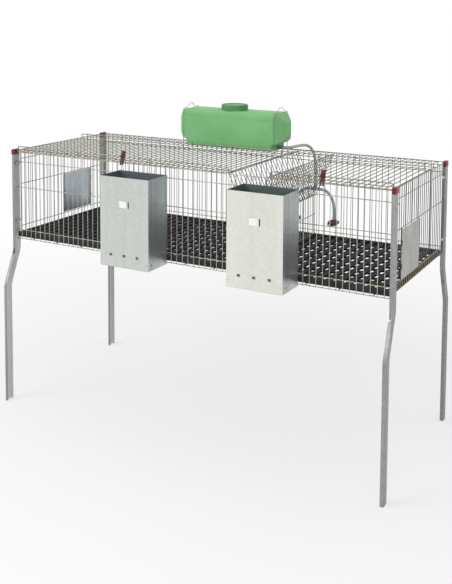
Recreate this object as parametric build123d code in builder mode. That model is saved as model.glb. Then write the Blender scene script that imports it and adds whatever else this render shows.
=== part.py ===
from build123d import *
import math
import os

# Rabbit cage of welded wire on four bent channel legs, in millimetres.
# X runs along the cage, Y towards its rear and Z up. The origin is on the ground, under the middle
# of the box that holds the whole object.

os.makedirs("parts", exist_ok=True)

# Overall sizes
cage_length = 1500.0        # over the legs, along X
cage_depth = 600.0          # over the legs, along Y
floor_row = 624.0           # height of the front panel's bottom wire
row_steps = (0.0, 34.0, 199.0, 297.0, 333.0)    # front panel's wires above its bottom wire
rear_lift = 6.0             # sides and rear stand this much higher than the front
side_foot = 17.0            # lowest wire of a side above that of the front

# Clearances
gap = 0.3                   # between pieces that move past each other
running = 0.06              # radial play of an eye, a knuckle or a pin
seat = 0.1                  # play of a push fit

# Wire
wire = 2.4
mesh = 22.4                 # wanted distance between neighbouring wires
rod = 4.0                   # hinge rod, lid rails and floor bars
rod_bend = 8.0

# Legs and their caps
leg_flange = 10.0           # along X
leg_web = 30.0              # along Y
leg_wall = 1.5
leg_flare = 54.0
knee_drops = (44.0, 172.0)  # upper and lower knee below the bottom wire
leg_rise = 9.0              # legs above the front panel's top wire
cap_wall = 1.0
cap_skirt = 19.0
cap_roof = 6.0

# Staples that tie the panels' edge wires to the legs
staple = 2.0
staple_half = 2.85
staple_tail = 0.5
staple_low = 67.0           # above the bottom wire
staple_high = 44.0          # below the top wire

# Panels
panel_inset = 14.0          # front and rear panels behind the legs' outer faces
edge_inset = 10.8           # their last wires inside the legs' outer faces
side_inset = (leg_flange + leg_wall) / 2
side_margin = 42.4          # side panels' last wires behind the legs' outer faces

# Rear roof strip, hinge rod, lids and latches
strip_reach = 140.0         # first long wire in front of the rear panel
strip_rows = (0.0, 66.0, 133.0)
hinge_reach = 153.0         # rod in front of the rear panel
hinge_rise = 21.0           # rod above the front panel's top wire
lid_inset = 14.5            # lids' outer wires inside the legs' outer faces
lid_slot = 4.5              # lids' inner wires beside the rack's rails
lid_step = 42.0             # second row behind the front one
eye_ring = 2.4
eye_step = 0.4              # an eye's bent wire thinner than the net's
eye_wire = wire - eye_step
left_eyes = 6
right_eyes = 4
rail_back = 6.0             # lid rail behind the front panel
latch_steps = (41.84, -22.9)    # left and right latch beside the middle of their rail's posts
latch_width = 17.0
latch_thick = 4.0
latch_hub = 9.0
latch_lean = 32.0
latch_upper = 24.0
latch_lower = 34.0
latch_slot = 5.0
latch_slot_length = 22.0
latch_nub = 5.0

# Hay rack and partition
rack_column = 11.25         # in wire pitches from the middle
rack_half = 73.0
rack_depth = 162.0          # rails to the bottom of the V
rack_foot = 2.2             # half the space between the nets' lowest wires
partition_row = 75.0        # its middle wire above the mats

# Floor
support_step = 5            # wire pitches between the floor bars
support_ties = 140.0
mat_height = 18.0
mat_plate = 6.0
mat_skirt = 4.0
mat_split = 1.0
mat_margin = 0.8
slot_length = 40.0
slot_width = 16.0
slot_pitch_x = 34.0
slot_pitch_y = 49.0

# Nest doors in the side panels
nest_span = 8               # wire pitches
nest_right_start = 2        # first window wire, counted from the front
nest_left_end = 3           # last window wire, counted from the rear
door_sheet = 1.0
door_stand = 0.5            # plate outside the side panel's wires
door_pin = 3.0
door_pin_step = 6.0         # pin beside the window
door_pin_reach = 3.0        # pin past the window's rows
door_border = 3.0
door_knuckle = 18.0
knuckle_wall = 0.94
knuckle_drop = 51.0

# Feeders
feeder_columns = (-7, 15)
feeder_span = 4             # half of the window behind a feeder, in wire pitches
feeder_width = 198.0
feeder_depth = 122.0
feeder_height = 311.8
feeder_gap = 1.5            # behind the hopper
sheet = 1.0
feeder_drop = 4.8           # hopper's lower edge below the bottom wire
mouth_width = 82.0
mouth_height = 90.0
mouth_sill = 44.0           # above the bottom wire
fines_hole = 12.0
fines_pitch = 54.0
fines_rise = 36.0
pan_flap = 37.0
pan_play = 0.2
baffle_top = 136.0          # above the bottom wire
baffle_low = 66.0
baffle_reach = 78.0
hook_width = 12.0
hook_sheet = 1.2
hook_pitches = 2.5
hook_tongue = 12.5
hook_plate = 33.0
rivet = 3.0
rivet_head = 6.0
rivet_rise = 1.0
tag_width = 34.0
tag_height = 22.0
tag_sheet = 0.8
tag_rise = 214.0            # above the bottom wire

# Water tank, its cap, straps and outlet
tank_column = -2.6
tank_reach = 75.0           # middle of the tank in front of the rear panel
tank_depth = 118.0
tank_outline = ((188.0, 0.0), (188.0, 25.0), (207.0, 30.0), (225.0, 44.0), (225.0, 127.0), (207.0, 145.0))
tank_chamfer = 30.0
tank_round = 6.0
tank_wall = 2.5
neck_radius = 46.0
neck_wall = 2.5
neck_height = 17.0
cap_radius = 52.0
cap_height = 22.0
cap_lift = 0.4
cap_top = 2.5
cap_notches = 36
cap_notch = 1.6
seal_width = 4.0
strap = 3.0
strap_pitches = 8.8
strap_play = 0.2
strap_slack = 0.8           # under the wires that it hooks
strap_bend = 3.2
strap_hump = 22.0
strap_hump_half = 18.0
outlet_rise = 12.6
outlet_shank = 12.0
outlet_flange = 15.0
outlet_flange_wall = 4.2
outlet_collar = 14.0
outlet_collar_length = 9.0
outlet_reach = 19.2
outlet_bore = 7.0

# Hoses and drinkers
hose = 11.0
hose_back = 12.0            # centre line behind the rear panel
tee_column = 11.0
tee_rise = 192.0            # above the bottom wire
tee_outer = 14.0
tee_arm = 17.0
drinker_side = 3.5          # wire pitches from the tee
drinker_rise = 70.0         # above the bottom wire
drinker_outer = 24.0
drinker_length = 23.0
drinker_neck = 16.0
inlet_outer = 13.0
inlet_rise = 20.0
chamber = 10.0
chamber_depth = 7.5
nozzle_flange = 24.0
nozzle_flange_wall = 6.0
nozzle_length = 30.0
nozzle_tip = 13.0
nipple = 5.0
nipple_head = 8.4
nipple_head_wall = 2.8
nipple_reach = 17.0

# Places that follow from the sizes
front_reach = cage_depth / 2 - panel_inset + wire / 2 + feeder_gap + feeder_depth + tag_sheet
rear_reach = cage_depth / 2 + leg_flare
mid_y = (front_reach - rear_reach) / 2
front_y = mid_y - cage_depth / 2 + panel_inset
rear_y = mid_y + cage_depth / 2 - panel_inset
half_wire = wire / 2
front_rows = [floor_row + step for step in row_steps]
side_rows = [floor_row + side_foot] + [row + rear_lift for row in front_rows[1:]]
rear_rows = front_rows[:2] + side_rows[3:]
front_top = front_rows[-1] + half_wire
side_top = side_rows[-1] + half_wire
leg_top = front_rows[-1] + leg_rise

front_half = cage_length / 2 - edge_inset
front_count = 2 * round(front_half / mesh)
pitch = 2 * front_half / front_count
front_columns = [-front_half + i * pitch for i in range(front_count + 1)]
side_x = cage_length / 2 - side_inset
side_half = cage_depth / 2 - side_margin
side_count = round(2 * side_half / mesh)
side_pitch = 2 * side_half / side_count
side_columns = [mid_y - side_half + i * side_pitch for i in range(side_count + 1)]

rack_x = rack_column * pitch
hinge_y = rear_y - hinge_reach
hinge_z = front_rows[-1] + hinge_rise
rail_y = front_y + rail_back
lid_z = front_top + gap + half_wire
staple_levels = (floor_row + staple_low, front_rows[-1] - staple_high)
tank_x = tank_column * pitch
tank_y = rear_y - tank_reach
tank_z = side_top + wire
tank_top = tank_z + tank_outline[-1][1]
hose_y = rear_y + hose_back
tee_x = tee_column * pitch
tee_z = floor_row + tee_rise
drinker_z = floor_row + drinker_rise


def save(piece, name):
    """Name a finished piece and write its file."""
    piece.part.label = name
    export_step(piece.part, f"parts/{name}.step")


def spread(first, last, count):
    """Evenly spaced lines from first to last."""
    return [first + (last - first) * i / count for i in range(count + 1)]


def net(columns, rows):
    """Draw a flat net of welded wire in the open sketch, one wire on each line."""
    width = columns[-1] - columns[0] + wire
    height = rows[-1] - rows[0] + wire
    with Locations(((columns[0] + columns[-1]) / 2, (rows[0] + rows[-1]) / 2)):
        Rectangle(width, height)
    step = columns[1] - columns[0]
    for low, high in zip(rows, rows[1:]):
        spots = [(column + step / 2, (low + high) / 2) for column in columns[:-1]]
        with Locations(*spots):
            Rectangle(step - wire, high - low - wire, mode=Mode.SUBTRACT)


def window(left, right, low, high):
    """Cut the wires out of a net between four of its wires."""
    with Locations(((left + right) / 2, (low + high) / 2)):
        Rectangle(right - left - wire, high - low - wire, mode=Mode.SUBTRACT)


def bent(points, size, bend):
    """Round bar through the points, with its corners bent to one radius or to a list of radii."""
    start = Vector(*points[0])
    with BuildPart() as bar:
        with BuildLine():
            FilletPolyline(*points, radius=bend)
        with BuildSketch(Plane(origin=start, z_dir=Vector(*points[1]) - start)):
            Circle(size / 2)
        sweep()
    return bar


def corner_radii(points):
    """Largest bends that leave a short straight run between neighbouring corners."""
    radii = []
    for before, corner, after in zip(points, points[1:], points[2:]):
        come = Vector(*corner) - Vector(*before)
        go = Vector(*after) - Vector(*corner)
        half_turn = math.radians(come.get_angle(go)) / 2
        radii.append(0.45 * min(come.length, go.length) / math.tan(half_turn))
    return radii


# Legs: bent channels, open towards the cage, with holes for the staples
def leg_outline(inner, outer, flare, low, high):
    knee_high = floor_row - knee_drops[0]
    knee_low = floor_row - knee_drops[1]
    upper = [(inner, knee_high), (inner, high), (outer, high), (outer, knee_high)]
    lower = [(outer + flare, knee_low), (outer + flare, low), (inner + flare, low), (inner + flare, knee_low)]
    Polyline(*upper, *lower, close=True)


def make_leg(side, end):
    outer = mid_y + end * cage_depth / 2
    inner = outer - end * leg_web
    mouth = Plane.YZ.offset(side * (cage_length / 2 - leg_flange))
    panel = mid_y + end * (cage_depth / 2 - panel_inset)
    hole = staple / 2 + seat
    with BuildPart() as leg:
        with BuildSketch(mouth):
            with BuildLine():
                leg_outline(inner, outer, end * leg_flare, 0.0, leg_top)
            make_face()
        extrude(amount=side * leg_flange)
        with BuildSketch(mouth):
            with BuildLine():
                skin = end * leg_wall
                leg_outline(inner + skin, outer - skin, end * leg_flare, -1.0, leg_top + 1.0)
            make_face()
        extrude(amount=side * (leg_flange - leg_wall), mode=Mode.SUBTRACT)
        for level in staple_levels:
            web_x = side * (cage_length / 2 - leg_wall / 2)
            with Locations((web_x, panel - staple_half, level), (web_x, panel + staple_half, level)):
                Cylinder(hole, 3 * leg_wall, rotation=(0, 90, 0), mode=Mode.SUBTRACT)
            flange_y = inner + end * leg_wall / 2
            ends = [(side * side_x + dx, flange_y, level) for dx in (-staple_half, staple_half)]
            with Locations(*ends):
                Cylinder(hole, 2 * leg_wall, rotation=(90, 0, 0), mode=Mode.SUBTRACT)
    return leg


def make_leg_cap(side, end):
    outer = mid_y + end * cage_depth / 2
    middle = outer - end * leg_web / 2
    mouth = cage_length / 2 - leg_flange + 2 * gap
    with BuildPart() as cap:
        with BuildSketch(Plane.XY.offset(leg_top - cap_skirt)):
            with Locations((side * (mouth + cage_length / 2 + cap_wall) / 2, middle)):
                Rectangle(cage_length / 2 + cap_wall - mouth, leg_web + 2 * cap_wall)
        extrude(amount=cap_skirt + cap_roof)
        with BuildSketch(Plane.XY.offset(leg_top - cap_skirt)):
            with Locations((side * (mouth - 1.0 + cage_length / 2 + seat) / 2, middle)):
                Rectangle(cage_length / 2 + seat - mouth + 1.0, leg_web + 2 * seat)
        extrude(amount=cap_skirt, mode=Mode.SUBTRACT)
    return cap


for end, end_name in ((-1, "front"), (1, "rear")):
    for side, side_name in ((-1, "left"), (1, "right")):
        save(make_leg(side, end), f"leg_{end_name}_{side_name}")
        save(make_leg_cap(side, end), f"leg_cap_{end_name}_{side_name}")

# Front panel with a window behind each feeder, and the plain rear panel
with BuildPart() as front_panel:
    with BuildSketch(Plane.XZ.offset(-front_y)):
        net(front_columns, front_rows)
        for column in feeder_columns:
            left = (column - feeder_span) * pitch
            right = (column + feeder_span) * pitch
            window(left, right, front_rows[1], front_rows[2])
    extrude(amount=half_wire, both=True)
save(front_panel, "front_panel")

with BuildPart() as rear_panel:
    with BuildSketch(Plane.XZ.offset(-rear_y)):
        net(front_columns, rear_rows)
    extrude(amount=half_wire, both=True)
save(rear_panel, "rear_panel")

# Side panels, each with a nest window
nest_right = (side_columns[nest_right_start], side_columns[nest_right_start + nest_span])
nest_left = (side_columns[-1 - nest_left_end - nest_span], side_columns[-1 - nest_left_end])
for side, side_name, nest in ((-1, "left", nest_left), (1, "right", nest_right)):
    with BuildPart() as side_panel:
        with BuildSketch(Plane.YZ.offset(side * side_x)):
            net(side_columns, side_rows)
            window(nest[0], nest[1], side_rows[1], side_rows[2])
        extrude(amount=half_wire, both=True)
    save(side_panel, f"side_panel_{side_name}")

# Staples round the panels' edge wires, with their tails through the legs
with BuildPart() as panel_clips:
    for level in staple_levels:
        for side in (-1, 1):
            for panel in (front_y, rear_y):
                edge = side * front_half
                tail = side * (cage_length / 2 + staple_tail)
                first = panel - staple_half
                last = panel + staple_half
                with BuildLine(Plane.XY.offset(level)):
                    Line((tail, first), (edge, first))
                    ThreePointArc((edge, first), (edge - side * staple_half, panel), (edge, last))
                    Line((edge, last), (tail, last))
                with BuildSketch(Plane(origin=(tail, first, level), z_dir=(-side, 0, 0))):
                    Circle(staple / 2)
                sweep()
            for end in (-1, 1):
                edge = mid_y + end * side_half
                tail = mid_y + end * (cage_depth / 2 - leg_web + leg_wall + staple_tail)
                first = side * side_x - staple_half
                last = side * side_x + staple_half
                with BuildLine(Plane.XY.offset(level)):
                    Line((first, tail), (first, edge))
                    ThreePointArc((first, edge), (side * side_x, edge - end * staple_half), (last, edge))
                    Line((last, edge), (last, tail))
                with BuildSketch(Plane(origin=(first, tail, level), z_dir=(0, -end, 0))):
                    Circle(staple / 2)
                sweep()
save(panel_clips, "panel_clips")

# Fixed roof strip: long wires on the side panels, short wires ending on the rear panel
strip_lines = [rear_y - strip_reach + step for step in strip_rows]
with BuildPart() as roof_strip:
    with BuildSketch(Plane.XY.offset(side_top)):
        start = strip_lines[0] - half_wire
        stop = rear_y + half_wire
        with Locations(*[(column, (start + stop) / 2) for column in front_columns[1:-1]]):
            Rectangle(wire, stop - start)
        with Locations((0, strip_lines[0]), (0, strip_lines[1])):
            Rectangle(2 * side_x + wire, wire)
        with Locations((0, strip_lines[2])):
            Rectangle(2 * (front_half - pitch / 2), wire)
    extrude(amount=wire)
save(roof_strip, "roof_strip")

# Hay rack: two sloping nets under rails that lie on the front panel's top wire
rail_top = front_top + wire
rack_front = front_y + half_wire + gap
rack_rear = rear_y - half_wire - gap
rack_columns = spread(rack_front + half_wire, rack_rear - half_wire, round((rack_rear - rack_front) / mesh))
rack_rail_z = front_top + half_wire
apex_z = rack_rail_z - rack_depth
for side, side_name in ((-1, "left"), (1, "right")):
    rise = Vector(side * (rack_half - rack_foot), 0, rack_depth)
    slope = rise.normalized()
    net_plane = Plane(
        origin=(rack_x + side * rack_foot, 0, apex_z),
        x_dir=(0, 1, 0),
        z_dir=(slope.Z, 0, -slope.X),
    )
    rail_x = rack_x + side * rack_half
    with BuildPart() as rack_net:
        with BuildSketch(net_plane):
            net(rack_columns, spread(0.0, rise.length - half_wire, 2))
        extrude(amount=half_wire, both=True)
        with BuildSketch(Plane.XY.offset(front_top)):
            with Locations((rail_x, (front_y - half_wire + rack_rear) / 2)):
                Rectangle(wire, rack_rear - front_y + half_wire)
        extrude(amount=wire)
    save(rack_net, f"rack_net_{side_name}")

# Hinge rod on the side panels, with a post on each of the rack's rails
hinge_path = (
    (-side_x, hinge_y, side_top),
    (-side_x, hinge_y, hinge_z),
    (side_x, hinge_y, hinge_z),
    (side_x, hinge_y, side_top),
)
with BuildPart() as hinge_rod:
    add(bent(hinge_path, rod, rod_bend).part)
    with Locations((rack_x - rack_half, hinge_y, rail_top), (rack_x + rack_half, hinge_y, rail_top)):
        Cylinder(rod / 2, hinge_z - rail_top, align=(Align.CENTER, Align.CENTER, Align.MIN))
save(hinge_rod, "hinge_rod")

# Floor bars on the front and rear panels' bottom wires, and the mats on the bars
support_z = floor_row + half_wire
with BuildPart() as floor_support:
    with BuildSketch(Plane.XY.offset(support_z)):
        reach = (front_count // 2 - 3) // support_step
        bars = [(i * support_step + 0.5) * pitch for i in range(-reach, reach + 1)]
        with Locations(*[(bar, mid_y) for bar in bars]):
            Rectangle(rod, rear_y - front_y + wire)
        bars_mid = (bars[0] + bars[-1]) / 2
        with Locations((bars_mid, mid_y - support_ties), (bars_mid, mid_y + support_ties)):
            Rectangle(bars[-1] - bars[0] + rod, rod)
    extrude(amount=rod)
save(floor_support, "floor_support")

mat_z = support_z + rod
mat_top = mat_z + mat_height
mat_half = cage_length / 2 - leg_flange - 1.0
mat_length = (2 * mat_half - 2 * mat_split) / 3
mat_depth = rear_y - front_y - wire - 2 * mat_margin
slots_x = int((mat_length - 3 * mat_skirt - slot_width) // slot_pitch_x) + 1
slots_y = int((mat_depth - 3 * mat_skirt - slot_length) // slot_pitch_y) + 1
for i, place in enumerate(("left", "middle", "right")):
    mat_x = (i - 1) * (mat_length + mat_split)
    with BuildPart() as mat:
        with BuildSketch(Plane.XY.offset(mat_z)):
            with Locations((mat_x, mid_y)):
                Rectangle(mat_length, mat_depth)
        extrude(amount=mat_height)
        with BuildSketch(Plane.XY.offset(mat_z)):
            with Locations((mat_x, mid_y)):
                Rectangle(mat_length - 2 * mat_skirt, mat_depth - 2 * mat_skirt)
        extrude(amount=mat_height - mat_plate, mode=Mode.SUBTRACT)
        with BuildSketch(Plane.XY.offset(mat_top)):
            with Locations((mat_x, mid_y)):
                with GridLocations(slot_pitch_x, slot_pitch_y, slots_x, slots_y):
                    Rectangle(slot_width, slot_length)
        extrude(amount=-mat_plate, mode=Mode.SUBTRACT)
    save(mat, f"floor_mat_{place}")

# Partition between the two rooms, standing on a mat under the rack
partition_rows = [mat_top + half_wire, mat_top + partition_row, apex_z - wire - gap]
with BuildPart() as partition:
    with BuildSketch(Plane.YZ.offset(rack_x)):
        net(rack_columns, partition_rows)
    extrude(amount=half_wire, both=True)
save(partition, "partition")

# Lids: nets that hang on the hinge rod by eyes, with a raised rail and a latch at the front
lid_rows = [front_y, front_y + lid_step, hinge_y]
lid_edge = cage_length / 2 - lid_inset
left_lid = (-lid_edge, rack_x - rack_half - lid_slot, left_eyes, latch_steps[0])
right_lid = (rack_x + rack_half + lid_slot, lid_edge, right_eyes, latch_steps[1])
for side_name, (lid_start, lid_stop, eyes, latch_step) in (("left", left_lid), ("right", right_lid)):
    count = round((lid_stop - lid_start) / mesh)
    lid_columns = spread(lid_start, lid_stop, count)
    eye_columns = [lid_columns[1 + round(j * (count - 2) / (eyes - 1))] for j in range(eyes)]
    with BuildPart() as lid_net:
        with BuildSketch(Plane.XY.offset(lid_z)):
            net(lid_columns, lid_rows)
        extrude(amount=half_wire, both=True)
        for eye in eye_columns:
            with BuildSketch(Plane.YZ.offset(eye)):
                with Locations((hinge_y, (lid_z + hinge_z) / 2)):
                    Rectangle(eye_wire, hinge_z - lid_z)
                with Locations((hinge_y, hinge_z)):
                    Circle(rod / 2 + eye_ring)
                    Circle(rod / 2 + running, mode=Mode.SUBTRACT)
            extrude(amount=eye_wire / 2, both=True)
    save(lid_net, f"lid_net_{side_name}")

    rail_foot = lid_z + half_wire
    rail_path = (
        (lid_start, rail_y, rail_foot),
        (lid_start, rail_y, hinge_z),
        (lid_stop, rail_y, hinge_z),
        (lid_stop, rail_y, rail_foot),
    )
    posts = [lid_columns[part * count // 3] for part in (1, 2)]
    with BuildPart() as lid_rail:
        add(bent(rail_path, rod, rod_bend).part)
        for post in posts:
            with Locations((post, rail_y, rail_foot)):
                Cylinder(rod / 2, hinge_z - rail_foot, align=(Align.CENTER, Align.CENTER, Align.MIN))
    save(lid_rail, f"lid_rail_{side_name}")

    latch_x = (posts[0] + posts[1]) / 2 + latch_step
    lean = Vector(0, math.sin(math.radians(latch_lean)), math.cos(math.radians(latch_lean)))
    pivot = Vector(latch_x, rail_y, hinge_z)
    middle = pivot + lean * (latch_upper - latch_lower) / 2
    slot_middle = pivot - lean * (latch_lower - latch_slot_length / 2)
    nub = pivot + lean * (latch_upper - latch_nub)
    with BuildPart() as latch:
        with BuildSketch(Plane.YZ.offset(latch_x)):
            with Locations((middle.Y, middle.Z)):
                Rectangle(latch_thick, latch_upper + latch_lower, rotation=-latch_lean)
            with Locations((pivot.Y, pivot.Z)):
                Circle(latch_hub / 2)
                Circle(rod / 2 + running, mode=Mode.SUBTRACT)
        extrude(amount=latch_width / 2, both=True)
        with BuildSketch(Plane.YZ.offset(latch_x)):
            with Locations((slot_middle.Y, slot_middle.Z)):
                Rectangle(2 * latch_thick, latch_slot_length, rotation=-latch_lean)
        extrude(amount=latch_slot / 2, both=True, mode=Mode.SUBTRACT)
        with Locations((latch_x + latch_width / 2, nub.Y, nub.Z)):
            Cylinder(latch_nub / 2, latch_nub, rotation=(0, 90, 0))
    save(latch, f"latch_{side_name}")

# Nest doors: sheet plates with curled knuckles on a pin wire beside the window
pin_x = side_x + half_wire + door_pin / 2
plate_low = side_rows[1] + door_border
plate_high = side_rows[2] - door_border
knuckle_levels = (plate_low + knuckle_drop - door_knuckle, plate_high - knuckle_drop)
door_specs = ((1, "right", nest_right[0], nest_right[1]), (-1, "left", nest_left[1], nest_left[0]))
for side, side_name, hinge_edge, free_edge in door_specs:
    toward = math.copysign(1.0, free_edge - hinge_edge)
    pin_y = hinge_edge - toward * door_pin_step
    with BuildPart() as pin:
        foot = side_rows[1] - door_pin_reach
        with BuildSketch(Plane.XY.offset(foot)):
            with Locations((side * pin_x, pin_y)):
                Circle(door_pin / 2)
        extrude(amount=side_rows[2] + door_pin_reach - foot)
    save(pin, f"door_pin_{side_name}")

    plate_x = side * (side_x + half_wire + door_stand + door_sheet / 2)
    knuckle = door_pin / 2 + running + knuckle_wall
    near = pin_y + toward * (knuckle + gap)
    far = free_edge + toward * door_border / 2
    with BuildPart() as door:
        with BuildSketch(Plane.XY.offset(plate_low)):
            with Locations((plate_x, (near + far) / 2)):
                Rectangle(door_sheet, abs(far - near))
        extrude(amount=plate_high - plate_low)
        for level in knuckle_levels:
            with BuildSketch(Plane.XY.offset(level)):
                with Locations((plate_x, (pin_y + near) / 2)):
                    Rectangle(door_sheet, abs(near - pin_y))
                with Locations((side * pin_x, pin_y)):
                    Circle(knuckle)
                    Circle(door_pin / 2 + running, mode=Mode.SUBTRACT)
            extrude(amount=door_knuckle)
    save(door, f"door_{side_name}")

# Feeders: sheet hoppers hung on the front panel's second wire
feeder_back = front_y - half_wire - feeder_gap
feeder_front = feeder_back - feeder_depth
feeder_mid = (feeder_back + feeder_front) / 2
feeder_low = floor_row - feeder_drop
hang_row = front_rows[3]
hook_bridge = hang_row + half_wire + gap
hook_top = hook_bridge + hook_sheet
pan_half = feeder_width / 2 - sheet - pan_play
pan_inner = pan_half - sheet
pan_back = feeder_back - sheet - pan_play
rivet_z = feeder_low + pan_flap / 2
rivet_spots = [feeder_mid - feeder_depth / 3, feeder_mid + feeder_depth / 3]
for column, side_name in zip(feeder_columns, ("left", "right")):
    x = column * pitch
    hook_x = [x - hook_pitches * pitch, x + hook_pitches * pitch]
    with BuildPart() as hopper:
        with BuildSketch(Plane.XY.offset(feeder_low)):
            with Locations((x, feeder_mid)):
                Rectangle(feeder_width, feeder_depth)
                Rectangle(feeder_width - 2 * sheet, feeder_depth - 2 * sheet, mode=Mode.SUBTRACT)
        extrude(amount=feeder_height)
        with BuildSketch(Plane.XZ.offset(-feeder_back)):
            mouth_x = (mouth_width + mouth_width / 8) / 2
            mouth_z = floor_row + mouth_sill + mouth_height / 2
            with Locations((x - mouth_x, mouth_z), (x + mouth_x, mouth_z)):
                Rectangle(mouth_width, mouth_height)
        extrude(amount=sheet, mode=Mode.SUBTRACT)
        with BuildSketch(Plane.XZ.offset(-feeder_front)):
            with Locations((x, floor_row + fines_rise)):
                with GridLocations(fines_pitch, 1.0, 3, 1):
                    Circle(fines_hole / 2)
        extrude(amount=-sheet, mode=Mode.SUBTRACT)
        for spot in rivet_spots:
            with Locations((x, spot, rivet_z)):
                Cylinder(rivet / 2, 2 * feeder_width, rotation=(0, 90, 0), mode=Mode.SUBTRACT)
    save(hopper, f"feeder_{side_name}_hopper")

    with BuildPart() as pan:
        with BuildSketch(Plane.XZ.offset(-pan_back)):
            with Locations((x, feeder_low)):
                Rectangle(2 * pan_half, pan_flap, align=(Align.CENTER, Align.MIN))
            with Locations((x, feeder_low + sheet)):
                Rectangle(2 * pan_inner, pan_flap, align=(Align.CENTER, Align.MIN), mode=Mode.SUBTRACT)
        extrude(amount=feeder_depth - 2 * sheet - 2 * pan_play)
        for spot in rivet_spots:
            with Locations((x, spot, rivet_z)):
                Cylinder(rivet / 2, 2 * feeder_width, rotation=(0, 90, 0), mode=Mode.SUBTRACT)
    save(pan, f"feeder_{side_name}_pan")

    with BuildPart() as baffle:
        top = (feeder_back - sheet - pan_play, floor_row + baffle_top)
        low = (feeder_back - baffle_reach, floor_row + baffle_low)
        with BuildSketch(Plane.YZ.offset(x)):
            with BuildLine():
                Polyline(top, low, (low[0], low[1] - sheet), (top[0], top[1] - sheet), close=True)
            make_face()
        extrude(amount=feeder_width / 2 - sheet - gap, both=True)
    save(baffle, f"feeder_{side_name}_baffle")

    with BuildPart() as hooks:
        with BuildSketch(Plane.YZ.offset(x)):
            tongue_back = front_y + half_wire + gap + hook_sheet
            with BuildLine():
                Polyline(
                    (feeder_back, hook_top - hook_plate),
                    (feeder_back, hook_top),
                    (tongue_back, hook_top),
                    (tongue_back, hook_top - hook_tongue),
                    (tongue_back - hook_sheet, hook_top - hook_tongue),
                    (tongue_back - hook_sheet, hook_bridge),
                    (feeder_back + hook_sheet, hook_bridge),
                    (feeder_back + hook_sheet, hook_top - hook_plate),
                    close=True,
                )
            make_face()
        extrude(amount=hook_pitches * pitch + hook_width / 2, both=True)
        with Locations((x, front_y, hook_top - hook_plate / 2)):
            Box(2 * hook_pitches * pitch - hook_width, feeder_depth, 2 * hook_plate, mode=Mode.SUBTRACT)
    save(hooks, f"feeder_{side_name}_hooks")

    with BuildPart() as rivets:
        for side in (-1, 1):
            head_x = x + side * feeder_width / 2
            head = Plane(origin=(head_x, 0, rivet_z), x_dir=(0, 1, 0), z_dir=(side, 0, 0))
            with BuildSketch(head):
                with Locations(*[(spot, 0) for spot in rivet_spots]):
                    Circle(rivet_head / 2)
            extrude(amount=rivet_rise)
            with BuildSketch(head):
                with Locations(*[(spot, 0) for spot in rivet_spots]):
                    Circle(rivet / 2 - seat / 2)
            extrude(amount=-2 * sheet - pan_play)
    save(rivets, f"feeder_{side_name}_rivets")

    with BuildPart() as tag:
        with BuildSketch(Plane.XZ.offset(-feeder_front)):
            with Locations((x, floor_row + tag_rise)):
                RectangleRounded(tag_width, tag_height, tag_height / 8)
        extrude(amount=tag_sheet)
    save(tag, f"feeder_{side_name}_tag")


# Water tank: its front, plan and end outlines crossed, and hollowed by the same set in by a wall
def tank_block(inset):
    right = [(tank_x + across, tank_z + up) for across, up in tank_outline]
    left = [(tank_x - across, tank_z + up) for across, up in reversed(tank_outline)]
    length = 2 * max(across for across, up in tank_outline)
    height = tank_outline[-1][1]
    with BuildPart() as block:
        with BuildSketch(Plane.XZ.offset(-tank_y)) as face:
            with BuildLine():
                Polyline(*right, *left, close=True)
            make_face()
            fillet(face.vertices(), tank_round)
            offset(amount=-inset)
        extrude(amount=tank_depth, both=True)
        with BuildSketch(Plane.XY.offset(tank_z)) as plan:
            with Locations((tank_x, tank_y)):
                Rectangle(length, tank_depth)
            chamfer(plan.vertices(), tank_chamfer)
            offset(amount=-inset)
        extrude(amount=height, mode=Mode.INTERSECT)
        with BuildSketch(Plane.YZ.offset(tank_x)) as end:
            with Locations((tank_y, tank_z + height / 2)):
                RectangleRounded(tank_depth, height, 2 * tank_round)
            offset(amount=-inset)
        extrude(amount=length, both=True, mode=Mode.INTERSECT)
    return block


outlet_x = tank_x + tank_outline[0][0]
outlet_z = tank_z + outlet_rise
with BuildPart() as tank_body:
    add(tank_block(0.0).part)
    with Locations((tank_x, tank_y, tank_top)):
        Cylinder(neck_radius, neck_height, align=(Align.CENTER, Align.CENTER, Align.MIN))
    add(tank_block(tank_wall).part, mode=Mode.SUBTRACT)
    with Locations((tank_x, tank_y, tank_top)):
        Cylinder(neck_radius - neck_wall, 2 * neck_height + 1.0, mode=Mode.SUBTRACT)
    with Locations((outlet_x, tank_y, outlet_z)):
        Cylinder(outlet_shank / 2 + seat, 4 * tank_wall, rotation=(0, 90, 0), mode=Mode.SUBTRACT)
save(tank_body, "tank_body")

cap_z = tank_top + cap_lift
with BuildPart() as tank_cap:
    with BuildSketch(Plane.XY.offset(cap_z)):
        with Locations((tank_x, tank_y)):
            Circle(cap_radius)
            with PolarLocations(cap_radius, cap_notches):
                Circle(cap_notch, mode=Mode.SUBTRACT)
    extrude(amount=cap_height)
    with BuildSketch(Plane.XY.offset(cap_z)):
        with Locations((tank_x, tank_y)):
            Circle(neck_radius + running)
    extrude(amount=cap_height - cap_top, mode=Mode.SUBTRACT)
save(tank_cap, "tank_cap")

seal_low = tank_top + neck_height + gap
with BuildPart() as tank_cap_seal:
    with BuildSketch(Plane.XY.offset(seal_low)):
        with Locations((tank_x, tank_y)):
            Circle(neck_radius)
            Circle(neck_radius - seal_width, mode=Mode.SUBTRACT)
    extrude(amount=cap_z + cap_height - cap_top - seal_low)
save(tank_cap_seal, "tank_cap_seal")

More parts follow.
